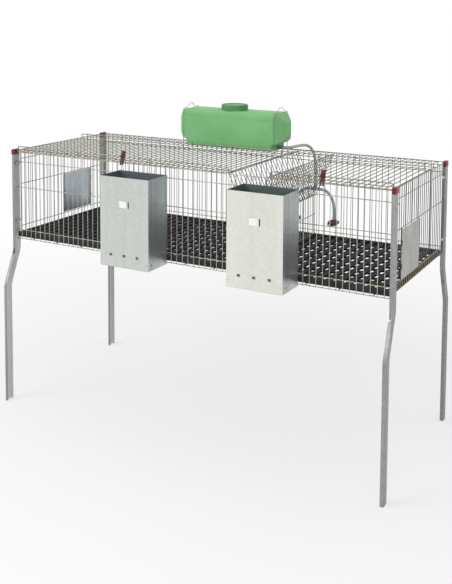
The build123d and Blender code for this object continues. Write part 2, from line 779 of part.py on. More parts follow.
# Straps over the tank, hooked under the roof strip's first and last long wires
hook_step = half_wire + strap_play + strap / 2
strap_low = side_top - strap_slack - strap / 2
strap_high = tank_top + strap_play + strap / 2
strap_front = tank_y - tank_depth / 2 - strap_play - strap / 2
strap_rear = tank_y + tank_depth / 2 + strap_play + strap / 2
strap_profile = (
    (strip_lines[0] - hook_step, side_top + wire),
    (strip_lines[0] - hook_step, strap_low),
    (strap_front, strap_low),
    (strap_front, strap_high),
    (tank_y - strap_hump_half, strap_high),
    (tank_y, strap_high + strap_hump),
    (tank_y + strap_hump_half, strap_high),
    (strap_rear, strap_high),
    (strap_rear, strap_low),
    (strip_lines[2] + hook_step, strap_low),
    (strip_lines[2] + hook_step, side_top + wire),
)
with BuildPart() as tank_straps:
    for side in (-1, 1):
        strap_x = tank_x + side * strap_pitches * pitch
        add(bent([(strap_x, y, z) for y, z in strap_profile], strap, strap_bend).part)
save(tank_straps, "tank_straps")

with BuildPart() as tank_outlet:
    outlet_plane = Plane(origin=(outlet_x, tank_y, outlet_z), z_dir=(1, 0, 0))
    with BuildSketch(outlet_plane.offset(-2 * tank_wall)):
        Circle(outlet_shank / 2)
    extrude(amount=2 * tank_wall + outlet_reach)
    with BuildSketch(outlet_plane):
        Circle(outlet_flange / 2)
    extrude(amount=outlet_flange_wall)
    with BuildSketch(outlet_plane.offset(outlet_reach - outlet_collar_length)):
        Circle(outlet_collar / 2)
    extrude(amount=outlet_collar_length)
    with BuildSketch(outlet_plane.offset(-2 * tank_wall)):
        Circle(outlet_bore / 2)
    extrude(amount=2 * tank_wall + outlet_reach / 2, mode=Mode.SUBTRACT)
save(tank_outlet, "tank_outlet")

# Hoses: from the tank over the rear edge to a tee, and from the tee to both drinkers
hose_start = (outlet_x + outlet_reach, tank_y, outlet_z)
tee_top = tee_z + tee_arm
rear_edge = side_top + wire
main_path = (
    hose_start,
    (hose_start[0] + 22, tank_y, outlet_z),
    (hose_start[0] + 49, tank_y + 10.5, outlet_z + 7.5),
    (hose_start[0] + 66.5, tank_y + 32, outlet_z + 11),
    (tee_x - 24.6, rear_y - 15, rear_edge + 19.4),
    (tee_x - 22, rear_y + 10, rear_edge + 10),
    (tee_x - 18.6, rear_y + 26, rear_edge - 5),
    (tee_x - 14.4, rear_y + 34.4, rear_edge - 24),
    (tee_x - 9.4, rear_y + 34, rear_edge - 45.6),
    (tee_x - 3.4, rear_y + 26.4, tee_top + 65.4),
    (tee_x + 1, rear_y + 17.8, tee_top + 41.4),
    (tee_x, hose_y, tee_top + 16),
    (tee_x, hose_y, tee_top),
)
branch_end = drinker_z + inlet_rise
branch_steps = ((0, 0), (16, 0), (32, -6.5), (46, -20), (55.6, -38), (60.2, -60), (61.4, -81))
hose_paths = {"hose_main": main_path}
for side, side_name in ((-1, "left"), (1, "right")):
    port = tee_x + side * tee_arm
    drinker_x = tee_x + side * drinker_side * pitch
    stretch = (drinker_side * pitch - tee_arm) / branch_steps[-1][0]
    branch = [(port + side * across * stretch, hose_y, tee_z + down) for across, down in branch_steps]
    hose_paths[f"hose_{side_name}"] = (*branch, (drinker_x, hose_y, branch_end))
for name, path in hose_paths.items():
    radii = corner_radii(path)
    tube = bent(path, hose, radii)
    print(name, "smallest bend", round(min(radii), 1), "volume", round(tube.part.volume))
    save(tube, name)

with BuildPart() as hose_tee:
    with Locations((tee_x, hose_y, tee_z)):
        Cylinder(tee_outer / 2, 2 * tee_arm, rotation=(0, 90, 0))
        Cylinder(tee_outer / 2, tee_arm, align=(Align.CENTER, Align.CENTER, Align.MIN))
save(hose_tee, "hose_tee")

# Drinkers: a body behind the rear panel, a nozzle in front of it and a pin that the animal pushes in
outside = rear_y + half_wire + gap
inside = rear_y - half_wire - gap
for side, side_name in ((-1, "left"), (1, "right")):
    drinker_x = tee_x + side * drinker_side * pitch
    into = Plane(origin=(drinker_x, outside, drinker_z), x_dir=(-1, 0, 0), z_dir=(0, 1, 0))
    with BuildPart() as drinker:
        with BuildSketch(into):
            Circle(drinker_outer / 2)
        extrude(amount=drinker_length)
        with BuildSketch(into):
            Circle(drinker_neck / 2)
        extrude(amount=inside - outside)
        with Locations((drinker_x, hose_y, drinker_z)):
            Cylinder(inlet_outer / 2, inlet_rise, align=(Align.CENTER, Align.CENTER, Align.MIN))
        with BuildSketch(into.offset(inside - outside)):
            Circle(chamber / 2)
        extrude(amount=chamber_depth, mode=Mode.SUBTRACT)
    save(drinker, f"drinker_{side_name}")

    front = into.offset(inside - outside)
    with BuildPart() as nozzle:
        with BuildSketch(front):
            Circle(nozzle_flange / 2)
        extrude(amount=-nozzle_flange_wall)
        with BuildSketch(front.offset(-nozzle_flange_wall)):
            Circle(nozzle_flange / 2 - 1.0)
        with BuildSketch(front.offset(-nozzle_length)):
            Circle(nozzle_tip / 2)
        loft()
        with BuildSketch(front):
            Circle(nipple / 2 + running)
        extrude(amount=-nozzle_length, mode=Mode.SUBTRACT)
    save(nozzle, f"drinker_nozzle_{side_name}")

    with BuildPart() as pin:
        with BuildSketch(front.offset(gap)):
            Circle(nipple_head / 2)
        extrude(amount=nipple_head_wall)
        with BuildSketch(front.offset(gap)) as shank:
            Circle(nipple / 2)
        extrude(amount=-gap - nozzle_length - nipple_reach)
        fillet(pin.faces().sort_by(Axis.Y)[0].edges(), nipple / 5)
    save(pin, f"nipple_{side_name}")
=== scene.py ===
# %% [markdown]
# # Rabbit cage of welded wire
# The cage stands on four bent channel legs. Lids, hay rack, slotted floor, two sheet feeders, two nest doors
# and a roof tank with hoses and drinkers hang on it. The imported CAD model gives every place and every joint,
# and this lesson dresses it: round wires instead of square ones, rolled edges, moulded forms and finishes.

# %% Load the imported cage
import math
import bmesh
import bpy
import numpy as np
from mathutils import Matrix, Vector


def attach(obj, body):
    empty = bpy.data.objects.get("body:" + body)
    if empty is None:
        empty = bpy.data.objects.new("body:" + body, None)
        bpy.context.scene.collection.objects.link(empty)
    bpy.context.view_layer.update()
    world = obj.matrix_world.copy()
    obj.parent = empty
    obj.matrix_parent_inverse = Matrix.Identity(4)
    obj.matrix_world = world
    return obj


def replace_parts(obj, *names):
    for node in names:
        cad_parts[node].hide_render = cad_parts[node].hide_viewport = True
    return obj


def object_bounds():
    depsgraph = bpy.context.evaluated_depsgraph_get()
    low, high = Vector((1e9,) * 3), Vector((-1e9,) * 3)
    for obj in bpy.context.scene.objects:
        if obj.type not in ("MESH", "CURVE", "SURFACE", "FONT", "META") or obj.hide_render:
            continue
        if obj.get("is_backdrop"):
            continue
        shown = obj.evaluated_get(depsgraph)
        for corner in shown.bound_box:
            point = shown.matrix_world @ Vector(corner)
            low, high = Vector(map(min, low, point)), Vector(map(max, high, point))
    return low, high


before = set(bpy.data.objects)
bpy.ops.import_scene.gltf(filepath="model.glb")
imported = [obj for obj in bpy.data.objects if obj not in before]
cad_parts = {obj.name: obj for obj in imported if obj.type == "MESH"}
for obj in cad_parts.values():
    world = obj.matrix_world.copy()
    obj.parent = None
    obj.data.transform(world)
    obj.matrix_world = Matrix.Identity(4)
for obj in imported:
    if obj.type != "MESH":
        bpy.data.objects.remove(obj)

cad_box = [list(corner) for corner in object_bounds()]
MM = 0.001
print("CAD box in metres:", [[round(v, 4) for v in corner] for corner in cad_box])

# %% [markdown]
# ## Camera
# The photograph was taken from the front right, a little above the roof. The camera was solved from the legs'
# corners, so here it is only written down: its place, its direction, a very small roll and its focal length in
# pixels of a picture 452 wide and 584 high. The shift moves the frame down, because the picture was cropped.

# %% Camera
def axes_matrix(place, x_dir, y_dir, z_dir):
    """The matrix of an object at a place, with its axes along three directions."""
    return Matrix(np.vstack([np.c_[x_dir, y_dir, z_dir, place], (0, 0, 0, 1)]).tolist())


def add_object(name, data):
    """A new object in the scene."""
    thing = bpy.data.objects.new(name, data)
    bpy.context.scene.collection.objects.link(thing)
    return thing


picture = (452, 584)
centre_px = (190.0, 90.0)
focal_px = 904.49
azimuth, elevation, roll = 0.53002, 0.08407, 0.00242
eye = np.array((1.56588, -2.87868, 1.48483))
back = np.array((math.sin(azimuth) * math.cos(elevation), -math.cos(azimuth) * math.cos(elevation),
                 math.sin(elevation)))
level_right = np.array((math.cos(azimuth), math.sin(azimuth), 0.0))
level_up = np.cross(back, level_right)
right = math.cos(roll) * level_right + math.sin(roll) * level_up
up = np.cross(back, right)

lens = bpy.data.cameras.new("camera")
lens.sensor_width = 36.0
lens.lens = focal_px / max(picture) * lens.sensor_width
lens.shift_x = (picture[0] / 2 - centre_px[0]) / max(picture)
lens.shift_y = (centre_px[1] - picture[1] / 2) / max(picture)
lens.clip_end = 200.0
camera = add_object("camera", lens)
camera.matrix_world = axes_matrix(eye, right, up, back)
bpy.context.scene.camera = camera
print("lens", round(lens.lens, 2), "mm, shift", round(lens.shift_x, 4), round(lens.shift_y, 4))

# %% [markdown]
# ## Shader building blocks
# Zinc and moulded plastic come back on many pieces, so each is one node group that is placed in several
# materials with its own values. A group gives out only colours, masks and heights that change over the
# surface. The shader itself stays in each material.

# %% Node helpers
def add_node(tree, kind, feeds=None, **settings):
    """Add a node, set its properties, and fill its sockets with values or links."""
    node = tree.nodes.new(kind)
    for name, value in settings.items():
        setattr(node, name, value)
    for socket, value in (feeds or {}).items():
        if isinstance(value, bpy.types.NodeSocket):
            tree.links.new(value, node.inputs[socket])
        else:
            node.inputs[socket].default_value = value
    return node


def new_group(name, inputs, outputs):
    """Start a node group with named inputs (kind and value) and outputs (kind)."""
    group = bpy.data.node_groups.new(name, "ShaderNodeTree")
    for label, (kind, value) in inputs.items():
        socket = group.interface.new_socket(name=label, in_out="INPUT", socket_type="NodeSocket" + kind)
        socket.default_value = value
    for label, kind in outputs.items():
        group.interface.new_socket(name=label, in_out="OUTPUT", socket_type="NodeSocket" + kind)
    return group, group.nodes.new("NodeGroupInput").outputs, group.nodes.new("NodeGroupOutput").inputs


def blend_colour(tree, share, first, second):
    """Mix two colours by a share between 0 and 1."""
    return add_node(tree, "ShaderNodeMix", {0: share, 6: first, 7: second}, data_type="RGBA").outputs[2]


def stretch(tree, value, low, high, to_low=0.0, to_high=1.0):
    """Map a range of values onto another one, held at its ends."""
    feeds = {"Value": value, "From Min": low, "From Max": high, "To Min": to_low, "To Max": to_high}
    return add_node(tree, "ShaderNodeMapRange", feeds).outputs["Result"]


def sums(tree, operation, first, second):
    """One sum of two values."""
    return add_node(tree, "ShaderNodeMath", {0: first, 1: second}, operation=operation).outputs[0]

print("node helpers ready")

# %% [markdown]
# Zinc on steel freezes into spangles: flat crystals a few millimetres wide, each a slightly different grey, with
# clouds of duller zinc over them. A Voronoi pattern gives the crystals and a noise gives the clouds. The shares
# of both also drive the roughness, because a bright crystal is smoother than a dull one.

# %% Zinc coat
zinc_coat, given, result = new_group(
    "zinc_coat",
    {"Bright": ("Color", (0.6, 0.6, 0.6, 1)), "Dull": ("Color", (0.4, 0.4, 0.4, 1)),
     "Spangles": ("Float", 180.0), "Clouds": ("Float", 9.0), "Stretch": ("Float", 1.0),
     "Smoothest": ("Float", 0.25), "Roughest": ("Float", 0.45)},
    {"Colour": "Color", "Roughness": "Float", "Height": "Float"})
place = add_node(zinc_coat, "ShaderNodeTexCoord").outputs["Object"]
axes = add_node(zinc_coat, "ShaderNodeSeparateXYZ", {0: place})
tall = sums(zinc_coat, "MULTIPLY", axes.outputs[2], given["Stretch"])
drawn = add_node(zinc_coat, "ShaderNodeCombineXYZ", {0: axes.outputs[0], 1: axes.outputs[1], 2: tall}).outputs[0]
crystals = add_node(zinc_coat, "ShaderNodeTexVoronoi", {"Vector": place, "Scale": given["Spangles"]})
crystal = add_node(zinc_coat, "ShaderNodeSeparateColor", {0: crystals.outputs["Color"]}).outputs[0]
clouds = add_node(zinc_coat, "ShaderNodeTexNoise", {"Vector": drawn, "Scale": given["Clouds"], "Detail": 5.0})
cloud = stretch(zinc_coat, clouds.outputs[0], 0.3, 0.7)
share = sums(zinc_coat, "ADD", sums(zinc_coat, "MULTIPLY", crystal, 0.35), sums(zinc_coat, "MULTIPLY", cloud, 0.65))
zinc_coat.links.new(blend_colour(zinc_coat, share, given["Bright"], given["Dull"]), result["Colour"])
rough = stretch(zinc_coat, share, 0.0, 1.0, given["Smoothest"], given["Roughest"])
zinc_coat.links.new(rough, result["Roughness"])
zinc_coat.links.new(sums(zinc_coat, "ADD", crystal, cloud), result["Height"])
print("zinc_coat has", len(zinc_coat.nodes), "nodes")

# %% [markdown]
# Moulded plastic has a fine grain from its mould and slow clouds where the wall is thicker or the colour flowed.
# Two noises of very different size give both.

# %% Moulded skin
moulded_skin, given, result = new_group(
    "moulded_skin",
    {"Colour": ("Color", (0.2, 0.2, 0.2, 1)), "Shade": ("Color", (0.1, 0.1, 0.1, 1)),
     "Grain": ("Float", 900.0), "Clouds": ("Float", 14.0), "Smoothest": ("Float", 0.3), "Roughest": ("Float", 0.5)},
    {"Colour": "Color", "Roughness": "Float", "Height": "Float"})
place = add_node(moulded_skin, "ShaderNodeTexCoord").outputs["Object"]
grains = add_node(moulded_skin, "ShaderNodeTexNoise", {"Vector": place, "Scale": given["Grain"], "Detail": 2.0})
grain = grains.outputs[0]
clouds = add_node(moulded_skin, "ShaderNodeTexNoise", {"Vector": place, "Scale": given["Clouds"], "Detail": 4.0})
cloud = stretch(moulded_skin, clouds.outputs[0], 0.32, 0.68)
moulded_skin.links.new(blend_colour(moulded_skin, cloud, given["Colour"], given["Shade"]), result["Colour"])
rough = stretch(moulded_skin, grain, 0.3, 0.7, given["Smoothest"], given["Roughest"])
moulded_skin.links.new(rough, result["Roughness"])
moulded_skin.links.new(grain, result["Height"])
print("moulded_skin has", len(moulded_skin.nodes), "nodes")

# %% [markdown]
# ## Finishes
# A finish is one material: a Principled shader with its constants set on it, and a group that gives the colour,
# the roughness and a small bump. Steel is metallic with a grey base, and in a white studio it mirrors white, so
# its base is written as dark as it should look.

# %% Material makers
def colour(red, green, blue):
    """A display colour of 0 to 255, as the linear colour that a shader takes."""
    share = np.array((red, green, blue)) / 255.0
    linear = np.where(share <= 0.04045, share / 12.92, ((share + 0.055) / 1.055) ** 2.4)
    return (*map(float, linear), 1.0)


def start_material(name, **constants):
    """A material whose Principled shader has its plain constants set."""
    material = bpy.data.materials.new(name)
    material.use_nodes = True
    shader = material.node_tree.nodes["Principled BSDF"]
    for label, value in constants.items():
        shader.inputs[label.replace("_", " ")].default_value = value
    return material, material.node_tree, shader


def use_group(tree, shader, group, bump, relief, **values):
    """Place a group in a material: its colour, roughness and height feed the shader."""
    node = add_node(tree, "ShaderNodeGroup", values, node_tree=group)
    tree.links.new(node.outputs["Colour"], shader.inputs["Base Color"])
    tree.links.new(node.outputs["Roughness"], shader.inputs["Roughness"])
    lift = add_node(tree, "ShaderNodeBump", {"Height": node.outputs["Height"], "Strength": bump, "Distance": relief})
    tree.links.new(lift.outputs["Normal"], shader.inputs["Normal"])


def zinc_finish(name, bright, dull, bump=0.15, metal=1.0, **values):
    """Galvanised steel: a metallic shader over the zinc coat. White rust inside a fold makes it less metallic."""
    material, tree, shader = start_material(name, Metallic=metal)
    use_group(tree, shader, zinc_coat, bump, relief=0.0004, Bright=colour(*bright), Dull=colour(*dull), **values)
    return material


def plastic_finish(name, base, shade, bump=0.1, gloss=0.5, **values):
    """Moulded plastic: a plain shader over the moulded skin."""
    material, tree, shader = start_material(name, Metallic=0.0, Specular_IOR_Level=gloss)
    use_group(tree, shader, moulded_skin, bump, relief=0.0003, Colour=colour(*base), Shade=colour(*shade),
              **values)
    return material

print("material makers ready")

# %% [markdown]
# The wires that run level are painted warm and creamy and the upright ones cooler, as painted reflections of
# different parts of the studio. They get one finish each. The nets of the roof and the upright wires of the sides and
# the rear are painted darker as painted shade, so these have finishes of their own. Welds are duller, because the
# zinc burns there. The legs are rolled channel with long streaks. The rear legs are painted darker as painted shade,
# and inside the channel the legs are painted paler as painted light.
# The two feeders' sheet is painted cooler and darker on the left and warmer and lighter on the right, as painted
# light and shade. Their sides and their lining are painted darker as painted shade, and the sides have long streaks.

# %% Steel finishes
drawn_wire = dict(Spangles=500.0, Clouds=16.0, Smoothest=0.3, Roughest=0.5)
rolled = dict(Spangles=150.0, Clouds=70.0, Stretch=0.02)
bright_sheet = dict(bump=0.015, metal=0.88, Spangles=110.0, Smoothest=0.18, Roughest=0.23)
streaked_sheet = dict(bump=0.008, metal=0.88, Spangles=110.0, Clouds=60.0, Stretch=0.015,
                      Smoothest=0.27, Roughest=0.32)
dull_sheet = dict(bump=0.05, metal=0.5, Spangles=110.0, Clouds=20.0, Stretch=0.2, Smoothest=0.4, Roughest=0.55)
door_sheet = dict(bump=0.06, Spangles=140.0, Clouds=22.0, Stretch=0.5, Smoothest=0.32, Roughest=0.46)

# The level wires' warm finish and the upright wires' cool, paler one are painted reflection.
row_zinc = zinc_finish("row_zinc", (163, 158, 140), (126, 122, 108), **drawn_wire)
column_zinc = zinc_finish("column_zinc", (202, 203, 199), (163, 165, 164), **{**drawn_wire, "Smoothest": 0.28})
# shade_zinc, rear_shade_zinc and roof_shade_zinc are darker copies of the wire's zinc, as painted shade.
shade_zinc = zinc_finish("shade_zinc", (122, 124, 124), (84, 86, 89), **drawn_wire)
rear_shade_zinc = zinc_finish("rear_shade_zinc", (118, 120, 120), (86, 88, 90), **drawn_wire)
roof_shade_zinc = zinc_finish("roof_shade_zinc", (158, 154, 136), (108, 105, 91), Spangles=500.0, Clouds=30.0,
                        Smoothest=0.32, Roughest=0.52)
weld_zinc = zinc_finish("weld_zinc", (134, 129, 116), (96, 91, 80), Spangles=700.0, Clouds=40.0,
                        Smoothest=0.4, Roughest=0.6)
# clip_shade_zinc is a dark zinc, as painted shade on the doors' knuckles.
clip_shade_zinc = zinc_finish("clip_shade_zinc", (98, 101, 107), (70, 73, 80), Spangles=600.0, Clouds=50.0,
                        Smoothest=0.45, Roughest=0.65)
rod_zinc = zinc_finish("rod_zinc", (164, 162, 153), (124, 123, 118), Spangles=420.0, Clouds=14.0)
# leg_dull is a darker copy of leg_zinc, as painted shade; leg_lining_light is a paler one, as painted light inside
# the channel.
leg_zinc = zinc_finish("leg_zinc", (168, 168, 162), (127, 132, 134), Smoothest=0.34, Roughest=0.48, **rolled)
leg_dull = zinc_finish("leg_dull", (148, 151, 152), (108, 112, 115), Smoothest=0.34, Roughest=0.48, **rolled)
leg_lining_light = zinc_finish("leg_lining_light", (214, 216, 213), (190, 193, 191), metal=0.1, Smoothest=0.45, Roughest=0.6,
                         **rolled)
# The feeders' sheet is painted cooler and darker on the left and warmer and lighter on the right, as painted light
# and shade; the sides' finishes are darker, as painted shade.
feeder_cool_shade = zinc_finish("feeder_cool_shade", (206, 210, 205), (191, 196, 192), Clouds=18.0, Stretch=0.08, **bright_sheet)
feeder_warm_light = zinc_finish("feeder_warm_light", (228, 228, 220), (211, 212, 204), Clouds=24.0, Stretch=0.05, **bright_sheet)
feeder_cool_side_shade = zinc_finish("feeder_cool_side_shade", (198, 204, 206), (154, 161, 165), **streaked_sheet)
feeder_warm_side_shade = zinc_finish("feeder_warm_side_shade", (200, 205, 203), (158, 164, 164), **streaked_sheet)
strap_zinc = zinc_finish("strap_zinc", (150, 151, 147), (112, 114, 112), Spangles=420.0, Clouds=14.0)
# The linings are darker copies of the sheet, as painted shade inside the hoppers and on the pans, baffles, hooks and
# flaps.
lining_cool_shade = zinc_finish("lining_cool_shade", (116, 124, 130), (98, 106, 112), **dull_sheet)
lining_warm_shade = zinc_finish("lining_warm_shade", (112, 124, 119), (94, 106, 101), **dull_sheet)
# The doors are one sheet in two tints: the warm one as painted light, the bluish one as painted shade.
door_warm_light = zinc_finish("door_warm_light", (170, 169, 161), (152, 151, 144), **door_sheet)
door_cool_shade = zinc_finish("door_cool_shade", (186, 195, 201), (166, 175, 182), **door_sheet)
pin_steel = zinc_finish("pin_steel", (214, 214, 212), (188, 188, 186), bump=0.04, Spangles=900.0, Clouds=60.0,
                        Smoothest=0.12, Roughest=0.22)
print("steel finishes up to", pin_steel.name)

# %% [markdown]
# Plastic is coloured all through, so its finishes differ only in colour, gloss and grain. The tank and its cap are
# smooth and a little cloudy. The mats are coarse, and inside their slots they are painted nearly black as painted
# shade.

# %% Plastic finishes
tank_green = plastic_finish("tank_green", (131, 191, 131), (117, 179, 117), bump=0.12, gloss=0.14, Grain=700.0,
                            Clouds=10.0, Smoothest=0.34, Roughest=0.5)
cap_pale = plastic_finish("cap_pale", (118, 168, 124), (104, 152, 110), Grain=800.0)
cap_green = plastic_finish("cap_green", (78, 146, 84), (64, 128, 70), Grain=800.0, Clouds=22.0,
                           Smoothest=0.3, Roughest=0.46)
crimson = plastic_finish("crimson", (118, 25, 47), (90, 17, 34), bump=0.08, gloss=0.3, Grain=900.0, Clouds=60.0,
                         Smoothest=0.3, Roughest=0.45)
drinker_red = plastic_finish("drinker_red", (92, 16, 33), (70, 11, 25), bump=0.08, gloss=0.35, Grain=900.0,
                             Clouds=40.0, Smoothest=0.26, Roughest=0.4)
latch_brown = plastic_finish("latch_brown", (84, 38, 34), (60, 26, 23), bump=0.08, gloss=0.25, Grain=900.0,
                             Clouds=50.0, Smoothest=0.3, Roughest=0.45)
mat_black = plastic_finish("mat_black", (56, 52, 53), (42, 39, 40), bump=0.2, gloss=0.08, Grain=500.0, Clouds=25.0,
                           Smoothest=0.55, Roughest=0.75)
# mat_slot_shade is a nearly black copy of the mat's plastic, as painted shade in the slots.
mat_slot_shade = plastic_finish("mat_slot_shade", (20, 18, 19), (13, 12, 12), bump=0.2, gloss=0.08, Grain=500.0, Clouds=25.0,
                          Smoothest=0.6, Roughest=0.8)
hose_grey = plastic_finish("hose_grey", (182, 185, 182), (166, 169, 166), bump=0.08, Grain=600.0, Clouds=30.0,
                           Smoothest=0.42, Roughest=0.58)
seal_black = plastic_finish("seal_black", (40, 40, 40), (28, 28, 28), Smoothest=0.6, Roughest=0.75)
tag_white = plastic_finish("tag_white", (233, 234, 235), (222, 223, 224), bump=0.06, Grain=700.0, Clouds=60.0,
                           Smoothest=0.4, Roughest=0.55)
print("plastic finishes up to", tag_white.name)

# %% [markdown]
# ## Hoses
# A soft grey hose leaves the tank's outlet, arches over the rear edge of the roof and drops to a tee behind the
# cage. A branch on each side goes down to a drinker. The photograph shows both ends of the main hose and of the right
# branch, which gives their length, and the left branch mirrors the right one. Each is a NURBS curve with the same
# control points as its CAD tube and a round bevel.

# %% Hose curves
tee_x, hose_y, tee_z, tee_arm = 246.4, 326.75, 816.0, 17.0
main_route = (
    (148.96, 239.75, 979.2), (170.96, 239.75, 979.2), (197.96, 250.25, 986.7), (215.46, 271.75, 990.2),
    (221.8, 299.75, 986.0), (224.4, 324.75, 976.6), (227.8, 340.75, 961.6), (232.0, 349.15, 942.6),
    (237.0, 348.75, 921.0), (243.0, 341.15, 898.4), (247.4, 332.55, 874.4), (246.4, 326.75, 849.0),
    (246.4, 326.75, 833.0),
)
branch_steps = ((0, 0), (16, 0), (32, -6.5), (46, -20), (55.6, -38), (60.2, -60), (61.4, -81), (61.4, -102))


def hose_curve(name, route):
    """A hose as one open NURBS spline with the route's points as its control points."""
    curve = bpy.data.curves.new(name, "CURVE")
    curve.dimensions = "3D"
    spline = curve.splines.new("NURBS")
    spline.points.add(len(route) - 1)
    spline.points.foreach_set("co", np.c_[np.array(route) * MM, np.ones(len(route))].astype(np.float32).ravel())
    spline.order_u = 3
    spline.use_endpoint_u = True
    spline.resolution_u = 14
    curve.bevel_depth = 5.5 * MM
    curve.bevel_resolution = 6
    curve.use_fill_caps = True
    curve.materials.append(hose_grey)
    hose = add_object(name + "_tube", curve)
    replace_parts(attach(hose, "frame"), name)
    [v * MM for v in route[0]]


def branch_route(side):
    """The branch on one side of the tee: its steps mirrored by the side's sign."""
    return [(tee_x + side * (tee_arm + across), hose_y, tee_z + down) for across, down in branch_steps]

print("hose routes:", len(main_route), "and", len(branch_steps), "points")

# %% [markdown]
# ## From arrays to pieces
# Every piece below is worked out as whole arrays in millimetres: a table of points and tables of faces with
# three or four corners. `make_piece` scales them to metres, puts them into a mesh, and tells the frame which
# body carries the piece and which CAD node it stands for. A piece is named after its node.

# %% Mesh helpers
def grid_faces(rows, columns, wrap=False):
    """Four-cornered faces of a grid of points, row after row. With wrap, the last column joins the first."""
    index = np.arange(rows * columns).reshape(rows, columns)
    if wrap:
        index = np.c_[index, index[:, :1]]
    low, high = index[:-1], index[1:]
    return np.stack([low[:, :-1], low[:, 1:], high[:, 1:], high[:, :-1]], -1).reshape(-1, 4)


def fan_faces(ring, pole):
    """Three-cornered faces from a closed ring of points to one pole point."""
    return np.stack([ring, np.roll(ring, -1), np.full(len(ring), pole)], -1)


def turns(count):
    """The angles of so many equal steps round a full turn."""
    return np.arange(count) * 2 * np.pi / count


def level_ring(outline, z):
    """A flat outline at a height."""
    return np.c_[outline, np.full(len(outline), z)]


def join(*shapes):
    """Several (points, faces) shapes as one: each shape's face numbers move up by the points before it."""
    points, faces, count = [], [], 0
    for shape_points, shape_faces in shapes:
        points.append(shape_points)
        faces += [face + count for face in shape_faces]
        count += len(shape_points)
    return np.concatenate(points), faces


def repeat(shape, spots):
    """One small shape at many spots: its points plus each spot, its faces moved up by whole copies."""
    points, faces = shape
    spots = np.atleast_2d(spots)
    many = (points[None] + spots[:, None]).reshape(-1, 3)
    step = (np.arange(len(spots)) * len(points))[:, None, None]
    return many, [(face[None] + step).reshape(-1, face.shape[1]) for face in faces]


def turned(shape, centre, x_dir=(1, 0, 0), y_dir=(0, 1, 0), z_dir=(0, 0, 1)):
    """A shape drawn round the origin, put at a centre as it was drawn, or with its axes along given directions."""
    points, faces = shape
    return points @ np.array((x_dir, y_dir, z_dir), float) + np.array(centre, float), faces


def stacked(rings):
    """Closed rings of points, one above the other, joined by faces. Each end closes in the ring's middle point."""
    count, around = rings.shape[:2]
    total, ring = count * around, np.arange(around)
    points = np.concatenate([rings.reshape(-1, 3), rings[0].mean(0)[None], rings[-1].mean(0)[None]])
    return points, [grid_faces(count, around, wrap=True), fan_faces(ring[::-1], total),
                    fan_faces(ring + total - around, total + 1)]


def sharpen_open_edges(mesh):
    """Mark each edge that has only one face as sharp, so that a thickened sheet keeps a plain cut edge."""
    edge_of = np.zeros(len(mesh.loops), np.int32)
    mesh.loops.foreach_get("edge_index", edge_of)
    is_open = np.bincount(edge_of, minlength=len(mesh.edges)) == 1
    sharp = mesh.attributes.get("sharp_edge") or mesh.attributes.new("sharp_edge", "BOOLEAN", "EDGE")
    flags = np.zeros(len(mesh.edges), bool)
    sharp.data.foreach_get("value", flags)
    sharp.data.foreach_set("value", flags | is_open)


def make_piece(node, ending, parts, body="frame", crease=38.0, merge=0.0, sheet=0.0, lining=None, name=None):
    """Put (shape, material) parts into one mesh that stands for a CAD node, and hand it to the frame. Closed shapes
    get outward normals. A sheet is a single skin that a Solidify modifier thickens inwards, where it may show
    another finish. The name is the node's with an ending, unless the piece has one of its own."""
    name = name or f"{node}_{ending}"
    mesh = bpy.data.meshes.new(name)
    points, faces = join(*[shape for shape, material in parts])
    corners = np.concatenate([face.ravel() for face in faces]).astype(np.int32)
    sizes = np.concatenate([np.full(len(face), face.shape[1]) for face in faces])
    starts = np.r_[0, np.cumsum(sizes)[:-1]].astype(np.int32)
    which = [np.full(sum(map(len, shape[1])), number) for number, (shape, material) in enumerate(parts)]
    mesh.vertices.add(len(points))
    mesh.vertices.foreach_set("co", (points * MM).astype(np.float32).ravel())
    mesh.loops.add(len(corners))
    mesh.loops.foreach_set("vertex_index", corners)
    mesh.polygons.add(len(sizes))
    mesh.polygons.foreach_set("loop_start", starts)
    mesh.polygons.foreach_set("material_index", np.concatenate(which).astype(np.int32))
    mesh.polygons.foreach_set("use_smooth", np.ones(len(sizes), bool))
    mesh.update(calc_edges=True)
    mesh.validate()
    work = bmesh.new()
    work.from_mesh(mesh)
    if merge:
        bmesh.ops.remove_doubles(work, verts=work.verts, dist=merge * MM)
    if not sheet:
        bmesh.ops.recalc_face_normals(work, faces=work.faces)
    work.to_mesh(mesh)
    work.free()
    mesh.set_sharp_from_angle(angle=math.radians(crease))
    if sheet:
        sharpen_open_edges(mesh)
    for shape, material in parts:
        mesh.materials.append(material)
    piece = add_object(name, mesh)
    if sheet:
        wall = piece.modifiers.new("sheet", "SOLIDIFY")
        wall.thickness = sheet * MM
        wall.offset = -1.0
        wall.use_even_offset = True
        if lining:
            for part in parts:
                mesh.materials.append(lining)
            wall.material_offset = len(parts)
    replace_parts(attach(piece, body), node)
    return piece

print("mesh helpers ready")

# %% [markdown]
# ## Round wires
# A welded net is hundreds of straight wires. One function makes them all at once: a ring of points goes round
# each wire at six places along it, and each tip closes in a point. The middle rings sway by a few tenths of a
# millimetre, seeded so that every run gives the same cage, because drawn wire is never quite straight. A small
# flattened bead sits where two wires are welded.

